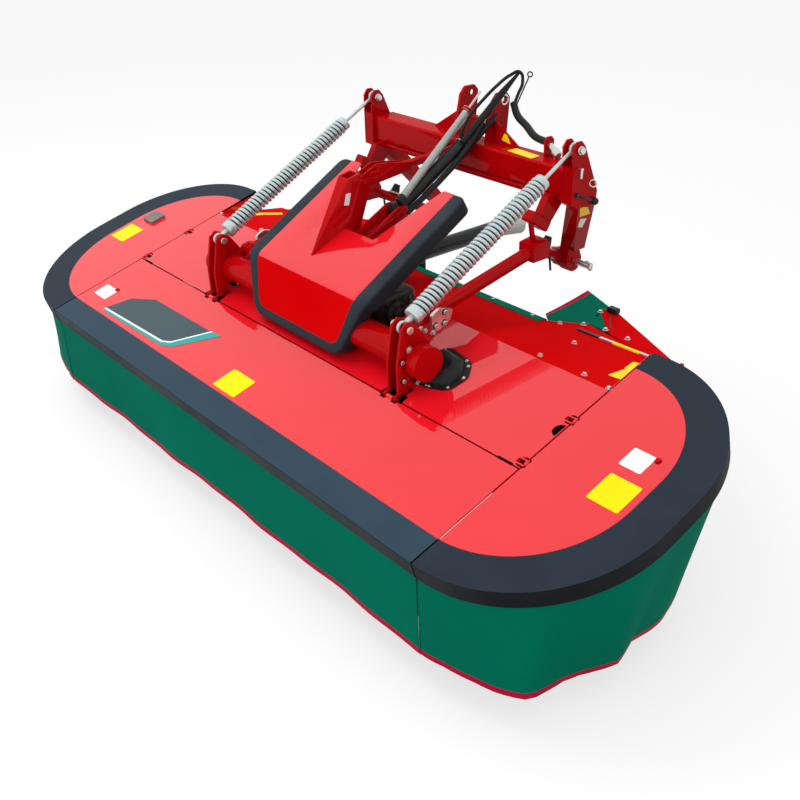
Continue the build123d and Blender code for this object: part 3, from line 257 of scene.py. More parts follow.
def weave_group() -> bpy.types.NodeTree:
    """Plain weave of a coated cloth, from the piece's own flat map in metres.

    Returns:
        Group with Place, Threads and Fold and the outputs Height and Tone.
    """
    inputs = (("Place", VECTOR, None), ("Threads", FLOAT, 900.0), ("Fold", FLOAT, 3.0))
    tree, graph = new_group("weave", inputs, (("Height", FLOAT), ("Tone", FLOAT)))
    start = graph.add("NodeGroupInput")
    waves = {"Vector": start.outputs[0], "Scale": start.outputs[1]}
    bands = [graph.add("TexWave", waves, bands_direction=way).outputs["Fac"] for way in ("X", "Y")]
    thread = graph.add("Math", {0: bands[0], 1: bands[1]}, operation="MULTIPLY")
    cloud = graph.add("TexNoise", {"Vector": start.outputs[0], "Scale": start.outputs[2], "Detail": 4.0})
    tone = graph.add("MapRange", {0: cloud.outputs["Fac"], 1: 0.3, 2: 0.7})
    graph.add("NodeGroupOutput", {0: thread.outputs[0], 1: tone.outputs[0]})
    return tree


GROUPS = {"mottle": mottle_group(), "dust": dust_group(), "weave": weave_group()}


@dataclass(frozen=True)
class Surface(ABC):
    """Look of a piece, whose material is made once."""

    name: str
    colour: tuple
    second: tuple

    def material(self) -> bpy.types.Material:
        """Builds the material once and hands out the same one after that."""
        made = bpy.data.materials.get(self.name)
        if not made:
            made = bpy.data.materials.new(self.name)
            made.use_nodes = True
            self.fill(Graph(made.node_tree))
        return made

    @abstractmethod
    def fill(self, graph: Graph) -> None:
        """Fills the material's node tree."""


@dataclass(frozen=True)
class Finish(Surface):
    """A painted, plated or moulded surface."""

    roughness: float
    metallic: float = 0.0
    coat: float = 0.0
    specular: float = 0.5
    size: float = 3.0
    grain: float = 400.0
    grain_depth: float = 0.0
    dust: float = 0.0
    dust_colour: tuple = (0.46, 0.40, 0.32)
    edge: float = 0.0
    # Share of the colour kept on faces that do not look up; below 1 it is painted shade on the sides.
    wall: float = 1.0
    coat_roughness: float = 0.025
    coat_index: float = 1.62
    relief: float = 0.6

    def fill(self, graph: Graph) -> None:
        """Fills the material's node tree."""
        place = graph.add("TexCoord").outputs["Object"]
        mottle = graph.add("Group", {0: place, 1: self.size, 2: self.grain}, node_tree=GROUPS["mottle"])
        dust = graph.add("Group", {0: place, 1: self.size * 2, 2: self.dust}, node_tree=GROUPS["dust"])
        tone = mottle.outputs["Tone"]
        base = graph.blend(tone, self.colour, self.second)
        # Painted shade: faces that do not look up are darkened by the wall share.
        if self.wall < 1:
            upward = graph.add("MapRange", {0: graph.steepness(), 1: 0.35, 2: 0.6}).outputs[0]
            base = graph.blend(upward, tuple(part * self.wall for part in self.colour), base)
        inputs = {
            "Base Color": graph.blend(dust.outputs["Dust"], base, self.dust_colour),
            "Roughness": graph.scale(tone, self.roughness * 0.85, min(1, self.roughness * 1.2)),
            "Metallic": self.metallic,
            "Coat Weight": self.coat,
            "Coat Roughness": self.coat_roughness,
            "Coat IOR": self.coat_index,
            "Specular IOR Level": self.specular,
        }
        bump = {"Height": mottle.outputs["Height"], "Strength": self.relief, "Distance": self.grain_depth}
        if self.edge:
            bump["Normal"] = graph.add("Bevel", {"Radius": self.edge}, samples=4).outputs[0]
        graph.principled(inputs, bump)


@dataclass(frozen=True)
class Cloth(Surface):
    """Coated curtain cloth, woven on the piece's own flat map."""

    roughness: float = 0.75
    specular: float = 0.03
    threads: float = 160.0
    fold: float = 1.6
    relief: float = 0.5
    depth: float = 0.0004

    def fill(self, graph: Graph) -> None:
        """Fills the material's node tree."""
        place = graph.add("TexCoord").outputs["UV"]
        weave = graph.add("Group", {0: place, 1: self.threads, 2: self.fold}, node_tree=GROUPS["weave"])
        inputs = {
            "Base Color": graph.blend(weave.outputs["Tone"], self.colour, self.second),
            "Roughness": self.roughness,
            "Specular IOR Level": self.specular,
        }
        bump = {"Height": weave.outputs["Height"], "Strength": self.relief, "Distance": self.depth}
        graph.principled(inputs, bump)


COVER_RED = Finish(
    "cover red paint", (0.72, 0.003, 0.010), (0.78, 0.005, 0.014), 0.4, coat=1.0, specular=0.06, size=1.4,
    grain=900.0, grain_depth=0.00004, dust=0.008, edge=0.002,
)
DECK_RED = Finish(
    "deck red paint", (0.62, 0.001, 0.002), (0.68, 0.002, 0.003), 0.6, coat=0.0, specular=0.006,
    size=1.6, grain=700.0, grain_depth=0.00006, dust=0.004, edge=0.002,
)
# Frame paint: a deeper red than the covers, partly real and partly painted shade taken from the frame's
# shaded faces.
FRAME_RED = Finish(
    "frame red paint", (0.40, 0.001, 0.002), (0.48, 0.001, 0.003), 0.42, coat=0.14, specular=0.005, size=5.0,
    grain=500.0, grain_depth=0.0001, dust=0.006, edge=0.002,
)
# Slate rim plastic; its faces that do not look up are darkened to a tenth as painted shade.
SLATE = Finish(
    "slate plastic", (0.024, 0.050, 0.074), (0.030, 0.060, 0.088), 0.5, specular=0.10, size=4.0,
    grain=1400.0, grain_depth=0.0002, dust=0.006, edge=0.003, wall=0.10,
)
# Darker copy of the slate rim plastic as painted shade for the side rims, with its sides darkened further.
SHADED_SIDE_SLATE = Finish(
    "side slate plastic", (0.019, 0.028, 0.040), (0.024, 0.035, 0.050), 0.55, specular=0.08, size=4.0,
    grain=1400.0, grain_depth=0.0002, dust=0.006, edge=0.003, wall=0.15,
)
TUBE_STEEL = Finish(
    "grey steel tube", (0.34, 0.36, 0.34), (0.40, 0.42, 0.40), 0.3, metallic=0.35, size=20.0,
)
# Near-black finish: painted shade inside openings and between the spring's turns.
PAINTED_SHADE = Finish("shadowed opening", (0.002, 0.002, 0.002), (0.003, 0.003, 0.003), 0.9, specular=0.0)
GREY_REFLECTOR = Finish(
    "grey reflector", (0.16, 0.13, 0.12), (0.24, 0.20, 0.19), 0.35, metallic=0.3, size=20.0,
)
DARK_SLATE = Finish(
    "dark slate plastic", (0.015, 0.023, 0.031), (0.020, 0.030, 0.040), 0.5, specular=0.12, size=4.0,
    grain=1400.0, grain_depth=0.0002, dust=0.04, edge=0.003,
)
SPRING_ZINC = Finish(
    "plated spring wire", (0.52, 0.61, 0.62), (0.60, 0.68, 0.68), 0.28, metallic=0.5, size=30.0,
    grain=600.0, grain_depth=0.0001,
)
ZINC = Finish(
    "zinc plated steel", (0.62, 0.66, 0.64), (0.72, 0.74, 0.70), 0.28, metallic=0.9, size=30.0,
    grain=600.0, grain_depth=0.0001,
)
BRIGHT = Finish(
    "bright steel", (0.68, 0.68, 0.66), (0.76, 0.75, 0.72), 0.22, metallic=1.0, size=20.0,
)
BLACK_PAINT = Finish(
    "black paint", (0.007, 0.008, 0.009), (0.012, 0.014, 0.016), 0.35, coat=0.1, specular=0.2, size=8.0,
    grain=500.0, grain_depth=0.0001, dust=0.05, edge=0.002,
)
RUBBER = Finish(
    "black rubber", (0.006, 0.007, 0.008), (0.011, 0.012, 0.013), 0.42, specular=0.22, size=20.0,
    grain=900.0, grain_depth=0.0002, dust=0.03,
)
CAST = Finish(
    "cast housing", (0.06, 0.065, 0.07), (0.09, 0.095, 0.10), 0.55, size=12.0,
    grain=260.0, grain_depth=0.0006, dust=0.10, edge=0.003,
)
GREY_CONE = Finish(
    "pale grey plastic", (0.66, 0.70, 0.69), (0.74, 0.77, 0.76), 0.42, size=9.0,
    grain=700.0, grain_depth=0.0001,
)
BEIGE = Finish("passivated zinc", (0.62, 0.50, 0.28), (0.70, 0.60, 0.38), 0.38, metallic=0.6, size=30.0)
HARD_STEEL = Finish(
    "worn hard steel", (0.16, 0.13, 0.11), (0.34, 0.30, 0.27), 0.42, metallic=0.8, size=9.0,
    grain=220.0, grain_depth=0.0005, edge=0.002,
)
YELLOW_PLATE = Finish(
    "yellow plate", (0.96, 0.73, 0.002), (0.98, 0.78, 0.004), 0.4, specular=0.1, size=8.0,
)
WHITE_PLATE = Finish(
    "white plate", (0.84, 0.85, 0.86), (0.90, 0.90, 0.90), 0.28, size=8.0,
)
TEAL = Finish("teal stripe", (0.0, 0.30, 0.30), (0.0, 0.34, 0.33), 0.3, size=8.0)
PLATE_SLATE = Finish(
    "slate plate", (0.050, 0.078, 0.096), (0.058, 0.088, 0.108), 0.4, specular=0.15, size=5.0,
)
GREEN = Cloth("green curtain cloth", (0.0, 0.150, 0.090), (0.0, 0.185, 0.115))
CRIMSON = Cloth("crimson hem", (0.48, 0.006, 0.040), (0.54, 0.010, 0.050), roughness=0.5)

NODE_FINISHES = (
    (COVER_RED, ("front_cover", "side_cover_left", "side_cover_right", "cowl_panel", "deck_panel")),
    (DECK_RED, ("rear_hood", "swath_board_left", "swath_board_right")),
    (SLATE, ("front_rim",)),
    (SHADED_SIDE_SLATE, ("side_rim_left", "side_rim_right")),
    (DARK_SLATE, ("cowl_trim",)),
    (
        FRAME_RED,
        (
            "side_frame_left", "side_frame_right", "stand_left", "stand_right", "main_beam",
            "carrier_tube", "spring_bracket_left", "spring_bracket_right", "headstock",
            "link_mast", "upper_link", "lower_arm_left", "lower_arm_right", "arm_bracket_left",
            "arm_bracket_right", "conditioner_shell",
        ),
    ),
    (BLACK_PAINT, ("lift_cylinder", "shaft_guard", "conditioner_rotor", "gearbox")),
    (
        RUBBER,
        ("hose_sleeve", "lift_hose", "bump_stop_left", "bump_stop_right", "boot_left", "boot_right"),
    ),
    (BRIGHT, ("lift_rod",)),
    (CAST, ("cutter_bar",)),
    (HARD_STEEL, ("skids", "drive_shaft", *[f"disc_{number}" for number in range(1, 9)])),
    (ZINC, ("spring_left", "spring_right", "height_gauge")),
)


def dress_nodes() -> None:
    """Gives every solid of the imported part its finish."""
    for finish, names in NODE_FINISHES:
        for name in names:
            mesh = frame["nodes"][name].data
            mesh.materials.clear()
            mesh.materials.append(finish.material())
    report.info("finishes on %d nodes", sum(len(names) for _, names in NODE_FINISHES))


def clear_selection() -> None:
    """Leaves edit mode and deselects everything."""
    if bpy.context.object and bpy.context.object.mode != "OBJECT":
        bpy.ops.object.mode_set(mode="OBJECT")
    bpy.ops.object.select_all(action="DESELECT")


def activate(piece: bpy.types.Object) -> None:
    """Selects one piece alone and makes it the active one."""
    clear_selection()
    piece.select_set(True)
    bpy.context.view_layer.objects.active = piece


def turn_to(direction: Vector) -> Euler:
    """Euler angles that turn the z axis to a direction."""
    return direction.to_track_quat("Z", "Y").to_euler()


class Pick:
    """Edit mode of one piece, with selections by the place and normal of its parts."""

    def __init__(self, piece: bpy.types.Object) -> None:
        """Makes the piece the active one.

        Args:
            piece: Mesh object to edit.
        """
        activate(piece)
        self.piece = piece

    def __enter__(self) -> "Pick":
        """Opens edit mode."""
        bpy.ops.object.mode_set(mode="EDIT")
        bpy.ops.mesh.select_mode(type="FACE")
        return self

    def __exit__(self, *problem) -> None:
        """Closes edit mode."""
        bpy.ops.object.mode_set(mode="OBJECT")

    def everything(self) -> None:
        """Selects the whole piece."""
        bpy.ops.mesh.select_all(action="SELECT")

    def choose(self, kind: str, wanted: Callable) -> None:
        """Selects the faces or corners that pass a test.

        Args:
            kind: FACE or VERT.
            wanted: Test of a face or corner.
        """
        bpy.ops.mesh.select_mode(type=kind)
        bpy.ops.mesh.select_all(action="DESELECT")
        shape = bmesh.from_edit_mesh(self.piece.data)
        for item in shape.faces if kind == "FACE" else shape.verts:
            item.select_set(bool(wanted(item)))
        if kind == "VERT":
            shape.select_flush(True)
        bmesh.update_edit_mesh(self.piece.data)

    def faces(self, wanted: Callable[[Vector, Vector], bool]) -> None:
        """Selects the faces for which wanted(centre, normal) is true."""
        self.choose("FACE", lambda face: wanted(face.calc_center_median(), face.normal))

    def points(self, wanted: Callable[[Vector], bool]) -> None:
        """Selects the corners for which wanted(place) is true."""
        self.choose("VERT", lambda corner: wanted(corner.co))


def freeze() -> None:
    """Puts the selected piece's place, turn and size in its mesh."""
    bpy.ops.object.transform_apply(location=True, rotation=True, scale=True)


def smooth(piece: bpy.types.Object, degrees: float) -> None:
    """Shades a piece smooth where its faces meet at less than an angle."""
    activate(piece)
    bpy.ops.object.shade_smooth_by_angle(angle=radians(degrees))


def modify(piece: bpy.types.Object, kind: str, **settings) -> None:
    """Adds a modifier to a piece and applies it.

    Args:
        piece: Mesh object to change.
        kind: The modifier's type.
        settings: Its properties.
    """
    change = piece.modifiers.new("change", kind)
    for key, value in settings.items():
        setattr(change, key, value)
    activate(piece)
    bpy.ops.object.modifier_apply(modifier=change.name)


def weld(piece: bpy.types.Object, flatten: bool) -> None:
    """Merges the doubled corners of a piece and turns its faces outwards.

    Args:
        piece: Mesh object to change.
        flatten: Whether level neighbours become one face.
    """
    activate(piece)
    bpy.ops.object.mode_set(mode="EDIT")
    bpy.ops.mesh.select_all(action="SELECT")
    bpy.ops.mesh.remove_doubles(threshold=MERGE)
    if flatten:
        bpy.ops.mesh.dissolve_limited(angle_limit=radians(1.0))
    bpy.ops.mesh.normals_make_consistent(inside=False)
    bpy.ops.object.mode_set(mode="OBJECT")


def settle(piece: bpy.types.Object, name: str, finish: Surface) -> bpy.types.Object:
    """Names a piece, puts its place in its mesh and gives it a finish.

    Args:
        piece: The object to settle.
        name: Its name.
        finish: Its finish.

    Returns:
        The same object.
    """
    activate(piece)
    freeze()
    piece.name = name
    piece.data.name = name
    if not piece.data.materials or not all(piece.data.materials):
        piece.data.materials.clear()
        piece.data.materials.append(finish.material())
        for face in piece.data.polygons:
            face.material_index = 0
    return piece


def carry(piece: bpy.types.Object, body: str = "mower") -> bpy.types.Object:
    """Makes a piece ride on a body and logs it."""
    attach(piece, body)
    report.info("%s rides on %s, %d faces", piece.name, body, len(piece.data.polygons))
    return piece


def fit(piece: bpy.types.Object, name: str, finish: Surface) -> bpy.types.Object:
    """Settles a piece on the mower's fixed body."""
    return carry(settle(piece, name, finish))


def join(pieces: list[bpy.types.Object], name: str) -> bpy.types.Object:
    """Joins pieces into one."""
    clear_selection()
    for piece in pieces:
        piece.select_set(True)
    bpy.context.view_layer.objects.active = pieces[0]
    if len(pieces) > 1:
        bpy.ops.object.join()
    pieces[0].name = name
    pieces[0].data.name = name
    return pieces[0]


def fit_all(pieces: list[bpy.types.Object], name: str, finish: Surface) -> bpy.types.Object:
    """Joins pieces into one and settles it on the mower's fixed body."""
    return fit(join(pieces, name), name, finish)


def round_bar(start: Vector, end: Vector, radius: float, sides: int = 16) -> bpy.types.Object:
    """Round bar between two places, its ends softened by a share of its radius or length."""
    axis = end - start
    clear_selection()
    bpy.ops.mesh.primitive_cylinder_add(
        vertices=sides, radius=radius, depth=axis.length, location=(start + end) / 2, rotation=turn_to(axis)
    )
    bar = bpy.context.object
    softness = min(radius * BAR_SOFTNESS, axis.length * BAR_LIMIT)
    with Pick(bar) as pick:
        pick.faces(lambda centre, normal: abs(normal.z) > FACING)
        bpy.ops.mesh.bevel(offset=softness, segments=2)
    activate(bar)
    freeze()
    smooth(bar, 40)
    return bar


def rod(start: tuple, end: tuple, radius: float, sides: int = 16) -> bpy.types.Object:
    """Round bar between two places given from the seam."""
    return round_bar(datum.at(*start), datum.at(*end), radius, sides)


def box(
    place: Vector, size: tuple, softness: float, segments: int, turn: tuple = (0, 0, 0)
) -> bpy.types.Object:
    """Box with softened edges.

    Args:
        place: Its centre.
        size: Its size along each axis.
        softness: How far the softening reaches from each edge.
        segments: Faces across the softening.
        turn: Its Euler angles.

    Returns:
        The box.
    """
    clear_selection()
    bpy.ops.mesh.primitive_cube_add(size=1, location=place, rotation=turn)
    block = bpy.context.object
    block.dimensions = size
    freeze()
    with Pick(block) as pick:
        pick.everything()
        bpy.ops.mesh.bevel(offset=softness, segments=segments)
    return block


def copy_to(master: bpy.types.Object, places: list[tuple[Vector, Vector]]) -> list[bpy.types.Object]:
    """Copies a piece modelled at the origin along z, each copy with its own mesh.

    Args:
        master: Piece at the origin, standing along z.
        places: Place and direction of each copy.

    Returns:
        The copies. The master is removed.
    """
    copies = []
    for place, direction in places:
        mesh = master.data.copy()
        turn = direction.to_track_quat("Z", "Y").to_matrix().to_4x4()
        mesh.transform(Matrix.Translation(place) @ turn)
        twin = bpy.data.objects.new(master.name, mesh)
        bpy.context.scene.collection.objects.link(twin)
        copies.append(twin)
    bpy.data.objects.remove(master)
    return copies


def solid_copy(
    node: str, name: str, finish: Finish, width: float, segments: int = 3
) -> bpy.types.Object:
    """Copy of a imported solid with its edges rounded, standing for that solid.

    Args:
        node: Name of the solid.
        name: Name of the copy.
        finish: Its finish.
        width: How far the rounding reaches from each edge.
        segments: Faces across the rounding.

    Returns:
        The copy.
    """
    source = frame["nodes"][node]
    mesh = source.data.copy()
    mesh.transform(source.matrix_world)
    mesh.materials.clear()
    piece = bpy.data.objects.new(name, mesh)
    bpy.context.scene.collection.objects.link(piece)
    weld(piece, flatten=True)
    modify(piece, "BEVEL", width=width, segments=segments, limit_method="ANGLE", angle_limit=radians(24))
    smooth(piece, 35)
    settle(piece, name, finish)
    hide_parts(node)
    return piece


def tube(
    name: str, points: list[Vector], radius: float, finish: Finish, tip: float = 1.0
) -> bpy.types.Object:
    """Bent round bar, wire or hose through a few places.

    Args:
        name: Name of the piece.
        points: Places that its middle passes.
        radius: Its radius.
        finish: Its finish.
        tip: Share of the radius that its last end keeps.

    Returns:
        The piece.
    """
    clear_selection()
    bpy.ops.curve.primitive_bezier_curve_add()
    wire = bpy.context.object
    knots = wire.data.splines[0].bezier_points
    knots.add(len(points) - 2)
    for knot, place in zip(knots, points):
        knot.co = place
        knot.handle_left_type = knot.handle_right_type = "AUTO"
    knots[-1].radius = tip
    wire.data.dimensions = "3D"
    wire.data.bevel_depth = radius
    wire.data.bevel_resolution = 3
    wire.data.resolution_u = 8
    wire.data.use_fill_caps = True
    activate(wire)
    bpy.ops.object.convert(target="MESH")
    made = bpy.context.object
    smooth(made, 50)
    return settle(made, name, finish)


def hoop(place: Vector, across: Vector, radius: float, wire: float) -> bpy.types.Object:
    """Round ring of wire at a place, square to a direction."""
    clear_selection()
    bpy.ops.mesh.primitive_torus_add(
        major_radius=radius, minor_radius=wire, major_segments=28, minor_segments=10, location=place,
        rotation=turn_to(across),
    )
    ring = bpy.context.object
    freeze()
    bpy.ops.object.shade_smooth()
    return ring


@dataclass
class Bolt:
    """Flanged bolt or domed rivet on a surface. Dome and flange are shares of radius and height."""

    radius: float
    height: float
    sides: int = 6
    dome: tuple = (0.18, 0.1)
    flange: tuple = (1.45, 0.25)

    def head(self) -> bpy.types.Object:
        """Models one head at the origin along z."""
        clear_selection()
        bpy.ops.mesh.primitive_cylinder_add(
            vertices=self.sides, radius=self.radius, depth=self.height, location=(0, 0, self.height / 2)
        )
        head = bpy.context.object
        (edge, rise), (width, foot) = self.dome, self.flange
        with Pick(head) as pick:
            pick.faces(lambda centre, normal: normal.z > FACING)
            bpy.ops.mesh.inset(thickness=self.radius * edge, depth=self.radius * rise)
            pick.faces(lambda centre, normal: normal.z < -FACING)
            bpy.ops.mesh.extrude_region_shrink_fatten(TRANSFORM_OT_shrink_fatten={"value": 0.0})
            bpy.ops.transform.resize(value=(width, width, 1.0))
            bpy.ops.mesh.extrude_region_move(TRANSFORM_OT_translate={"value": (0, 0, -self.height * foot)})
        activate(head)
        freeze()
        return head

    def row(self, name: str, places: list[tuple[Vector, Vector]], finish: Finish) -> bpy.types.Object:
        """Places heads and joins them.

        Args:
            name: Name of the joined piece.
            places: Place and direction of each head.
            finish: Their finish.

        Returns:
            The joined piece.
        """
        return settle(join(copy_to(self.head(), places), name), name, finish)


def drawn_face(corners: list, normal: Vector) -> bpy.types.Object:
    """Piece of one flat face that looks along a normal, from its corners in order."""
    clear_selection()
    bpy.ops.mesh.primitive_plane_add(size=1)
    piece = bpy.context.object
    shape = bmesh.new()
    shape.faces.new([shape.verts.new(corner) for corner in corners])
    shape.normal_update()
    for face in shape.faces:
        if face.normal.dot(normal) < 0:
            face.normal_flip()
    shape.to_mesh(piece.data)
    shape.free()
    return piece


def flat_plate(
    name: str,
    corners: list[Vector],
    normal: Vector,
    thickness: float,
    finish: Finish,
    rounding: float = 0.0,
) -> bpy.types.Object:
    """Thin plate stuck on a surface, from its corners in order.

    Args:
        name: Name of the plate.
        corners: Corners on the surface.
        normal: Direction that the plate's face looks.
        thickness: How far it stands out.
        finish: Its finish.
        rounding: Radius of its corners.

    Returns:
        The plate.
    """
    plate = drawn_face([corner + normal * thickness for corner in corners], normal)
    if rounding:
        with Pick(plate) as pick:
            pick.everything()
            bpy.ops.mesh.bevel(offset=rounding, segments=4, affect="VERTICES")
    modify(plate, "SOLIDIFY", thickness=thickness * 1.6, offset=-1)
    return settle(plate, name, finish)


def both_sides(spot: Callable[..., Vector], places: Iterable[tuple]) -> list[Vector]:
    """Places on the left and the right, from a function that sets one and its values."""
    return [spot(sign * x, *rest) for x, *rest in places for _, sign in SIDES]


def deck_square(x: float, v: float, width: float, height: float) -> list[Vector]:
    """Corners of a square-cut plate on the deck."""
    half, rise = width / 2, height / 2
    return [datum.deck(x + sx * half, v + sv * rise) for sx, sv in ((-1, -1), (1, -1), (1, 1), (-1, 1))]


def cloth_grid(
    lines: list[list[Vector]], maps: list[list[tuple]], hem: Callable[[int, int], bool]
) -> bpy.types.Object:
    """Thin cloth through lines of places, each line as long as the next.

    Args:
        lines: Places along each line.
        maps: Place on the flat map of each of them.
        hem: Whether the faces after a line and a place on it are hem.

    Returns:
        The cloth, in its place.
    """
    clear_selection()
    count = len(lines[0])
    bpy.ops.mesh.primitive_grid_add(x_subdivisions=len(lines) - 1, y_subdivisions=count - 1, size=1)
    cloth = bpy.context.object
    ordered = sorted(cloth.data.vertices, key=lambda vertex: (round(vertex.co.x, 5), vertex.co.y))
    spots = {vertex.index: divmod(index, count) for index, vertex in enumerate(ordered)}
    uv = cloth.data.uv_layers.active
    for loop in cloth.data.loops:
        line, spot = spots[loop.vertex_index]
        uv.data[loop.index].uv = maps[line][spot]
    for vertex in cloth.data.vertices:
        line, spot = spots[vertex.index]
        vertex.co = lines[line][spot]
    for finish in (GREEN, CRIMSON):
        cloth.data.materials.append(finish.material())
    for face in cloth.data.polygons:
        corners = [spots[key] for key in face.vertices]
        if hem(min(line for line, _ in corners), min(spot for _, spot in corners)):
            face.material_index = 1
    return cloth


def thicken_cloth(cloth: bpy.types.Object, name: str, thickness: float = 0.003) -> float:
    """Gives a thin cloth its thickness and name.

    Args:
        cloth: Thin cloth.
        name: Its name.
        thickness: Its thickness.

    Returns:
        Its area before it was thickened.
    """
    area = sum(face.area for face in cloth.data.polygons)
    modify(cloth, "SOLIDIFY", thickness=thickness, offset=0)
    smooth(cloth, 50)
    settle(cloth, name, GREEN)
    return area


@dataclass
class Curtains:
    """Green cloth curtains with a crimson hem, hung from the rims."""

    rim_front: float = 0.446
    rim_rear: float = 0.645
    rim_side: float = 1.687
    rim_height: float = 0.0643
    front_radius: float = 0.500
    rear_radius: float = 0.450
    inset: float = 0.004
    hem_height: float = 0.130
    hem_band: float = 0.020
    end_x: float = 1.330
    start_x: float = 1.183
    rows: int = 12
    step: float = 0.030
    seam_gap: float = 0.006
    wave: float = 0.0035
    waves: tuple = ((1.0, 9.0, 0.0), (0.6, 21.0, 1.3))
    growth: float = 1.3
    lean: float = 1.6
    spare: float = 1.02
    pull: tuple = (
        (0.0, 0.0), (0.087, 0.008), (0.150, 0.003), (0.204, -0.002), (0.262, -0.014), (0.349, -0.027),
        (0.378, -0.017), (0.407, 0.003), (0.465, 0.038), (0.524, 0.055), (0.582, 0.060), (0.669, 0.060),
        (0.727, 0.083), (0.785, 0.104), (0.850, 0.100), (0.989, 0.100), (1.180, 0.082), (1.282, 0.050),
        (1.480, 0.015), (3.0, 0.010),
    )

    def pulled(self, reach: float) -> float:
        """How far the hem of a side curtain hangs inside its rim, from the run along it."""
        for (start, low), (end, high) in zip(self.pull, self.pull[1:]):
            if start <= reach <= end:
                return low + (high - low) * (reach - start) / (end - start)
        return self.pull[-1][1]

    def top(self, y: float) -> float:
        """Height of the skirt's lower edge at a y measured from the seam."""
        return datum.seam.z + (y * sin(datum.tilt) - self.rim_height) / cos(datum.tilt)

    def line(self, start: Vector, end: Vector) -> list[Vector]:
        """Points along a straight run, without its last one."""
        count = max(1, ceil((end - start).length / self.step))
        return [start.lerp(end, index / count) for index in range(count)]

    def bend(self, centre: Vector, radius: float, start: float, end: float) -> list[Vector]:
        """Points round a corner, without its last one."""
        count = ceil(abs(end - start) * radius / self.step)
        angles = [start + (end - start) * index / count for index in range(count)]
        return [centre + Vector((cos(a), sin(a))) * radius for a in angles]

    def path(self, sign: int) -> list[Vector]:
        """Hanging line of a side curtain seen from above, from the front seam round to the rear."""
        drop = self.rim_height * sin(datum.tilt)
        front = -(self.rim_front * cos(datum.tilt) - drop - self.inset)
        rear = self.rim_rear * cos(datum.tilt) + drop - self.inset
        outer = self.rim_side - self.inset
        near, far = self.front_radius, self.rear_radius
        points = self.line(Vector((self.start_x, front)), Vector((outer - near, front)))
        points += self.bend(Vector((outer - near, front + near)), near, -pi / 2, 0)
        points += self.line(Vector((outer, front + near)), Vector((outer, rear - far)))
        points += self.bend(Vector((outer - far, rear - far)), far, 0, pi / 2)
        points += self.line(Vector((outer - far, rear)), Vector((self.end_x, rear)))
        points.append(Vector((self.end_x, rear)))
        return [Vector((point.x * sign, point.y)) for point in points]

    def levels(self, top: float) -> list[float]:
        """Heights of the cloth's rows, from the hem's edge up to the top."""
        start = self.hem_height + self.hem_band
        rest = self.rows - 1
        return [self.hem_height, start, *(start + (top - start) * (row + 1) / rest for row in range(rest))]

    def hang(self, name: str, points: list[Vector], node: str, body: str) -> None:
        """Hangs one curtain along a line seen from above.

        Args:
            name: Name of the piece.
            points: Hanging line, measured from the seam.
            node: Solid that it stands for.
            body: Body that it rides on.
        """
        lengths = [0.0]
        for before, after in zip(points, points[1:]):
            lengths.append(lengths[-1] + (after - before).length)
        lines, maps = [], []
        for column, here in enumerate(points):
            before, after = points[max(0, column - 1)], points[min(len(points) - 1, column + 1)]
            along = (after - before).normalized()
            outward = Vector((along.y, -along.x)) * (1 if points[-1].x > 0 else -1)
            if points[0].x * points[-1].x < 0:
                outward = Vector((0, -1))
            reach = lengths[column]
            inward = self.pulled(reach) if body != "front_cover" else 0.0
            ripple = sum(share * sin(reach * pitch + start) for share, pitch, start in self.waves)
            top = self.top(here.y)
            line = []
            for height in self.levels(top):
                drop = max(0.0, (top - height) / (top - self.hem_height))
                sway = self.wave * ripple * drop ** self.growth - self.wave * self.lean * drop - inward * drop
                spot = datum.seam + Vector((here.x + outward.x * sway, here.y + outward.y * sway, 0))
                line.append(Vector((spot.x, spot.y, height)))
            lines.append(line)
            maps.append([(reach, place.z) for place in line])
        cloth = cloth_grid(lines, maps, lambda line, spot: spot == 0)
        area = thicken_cloth(cloth, name)
        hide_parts(node)
        carry(cloth, body)

    def build(self) -> None:
        """Hangs the front curtain and both side curtains."""
        side = self.path(1)
        front_y = side[0].y
        reach = self.start_x - self.seam_gap
        points = self.line(Vector((-reach, front_y)), Vector((reach, front_y)))
        points.append(Vector((reach, front_y)))
        self.hang("front_curtain_cloth", points, "front_curtain", "front_cover")
        for name, sign in SIDES:
            node, body, rest = f"side_curtain_{name}", f"side_cover_{name}", f"side_rim_{name}"
            self.hang(f"side_curtain_cloth_{name}", self.path(sign), node, body)


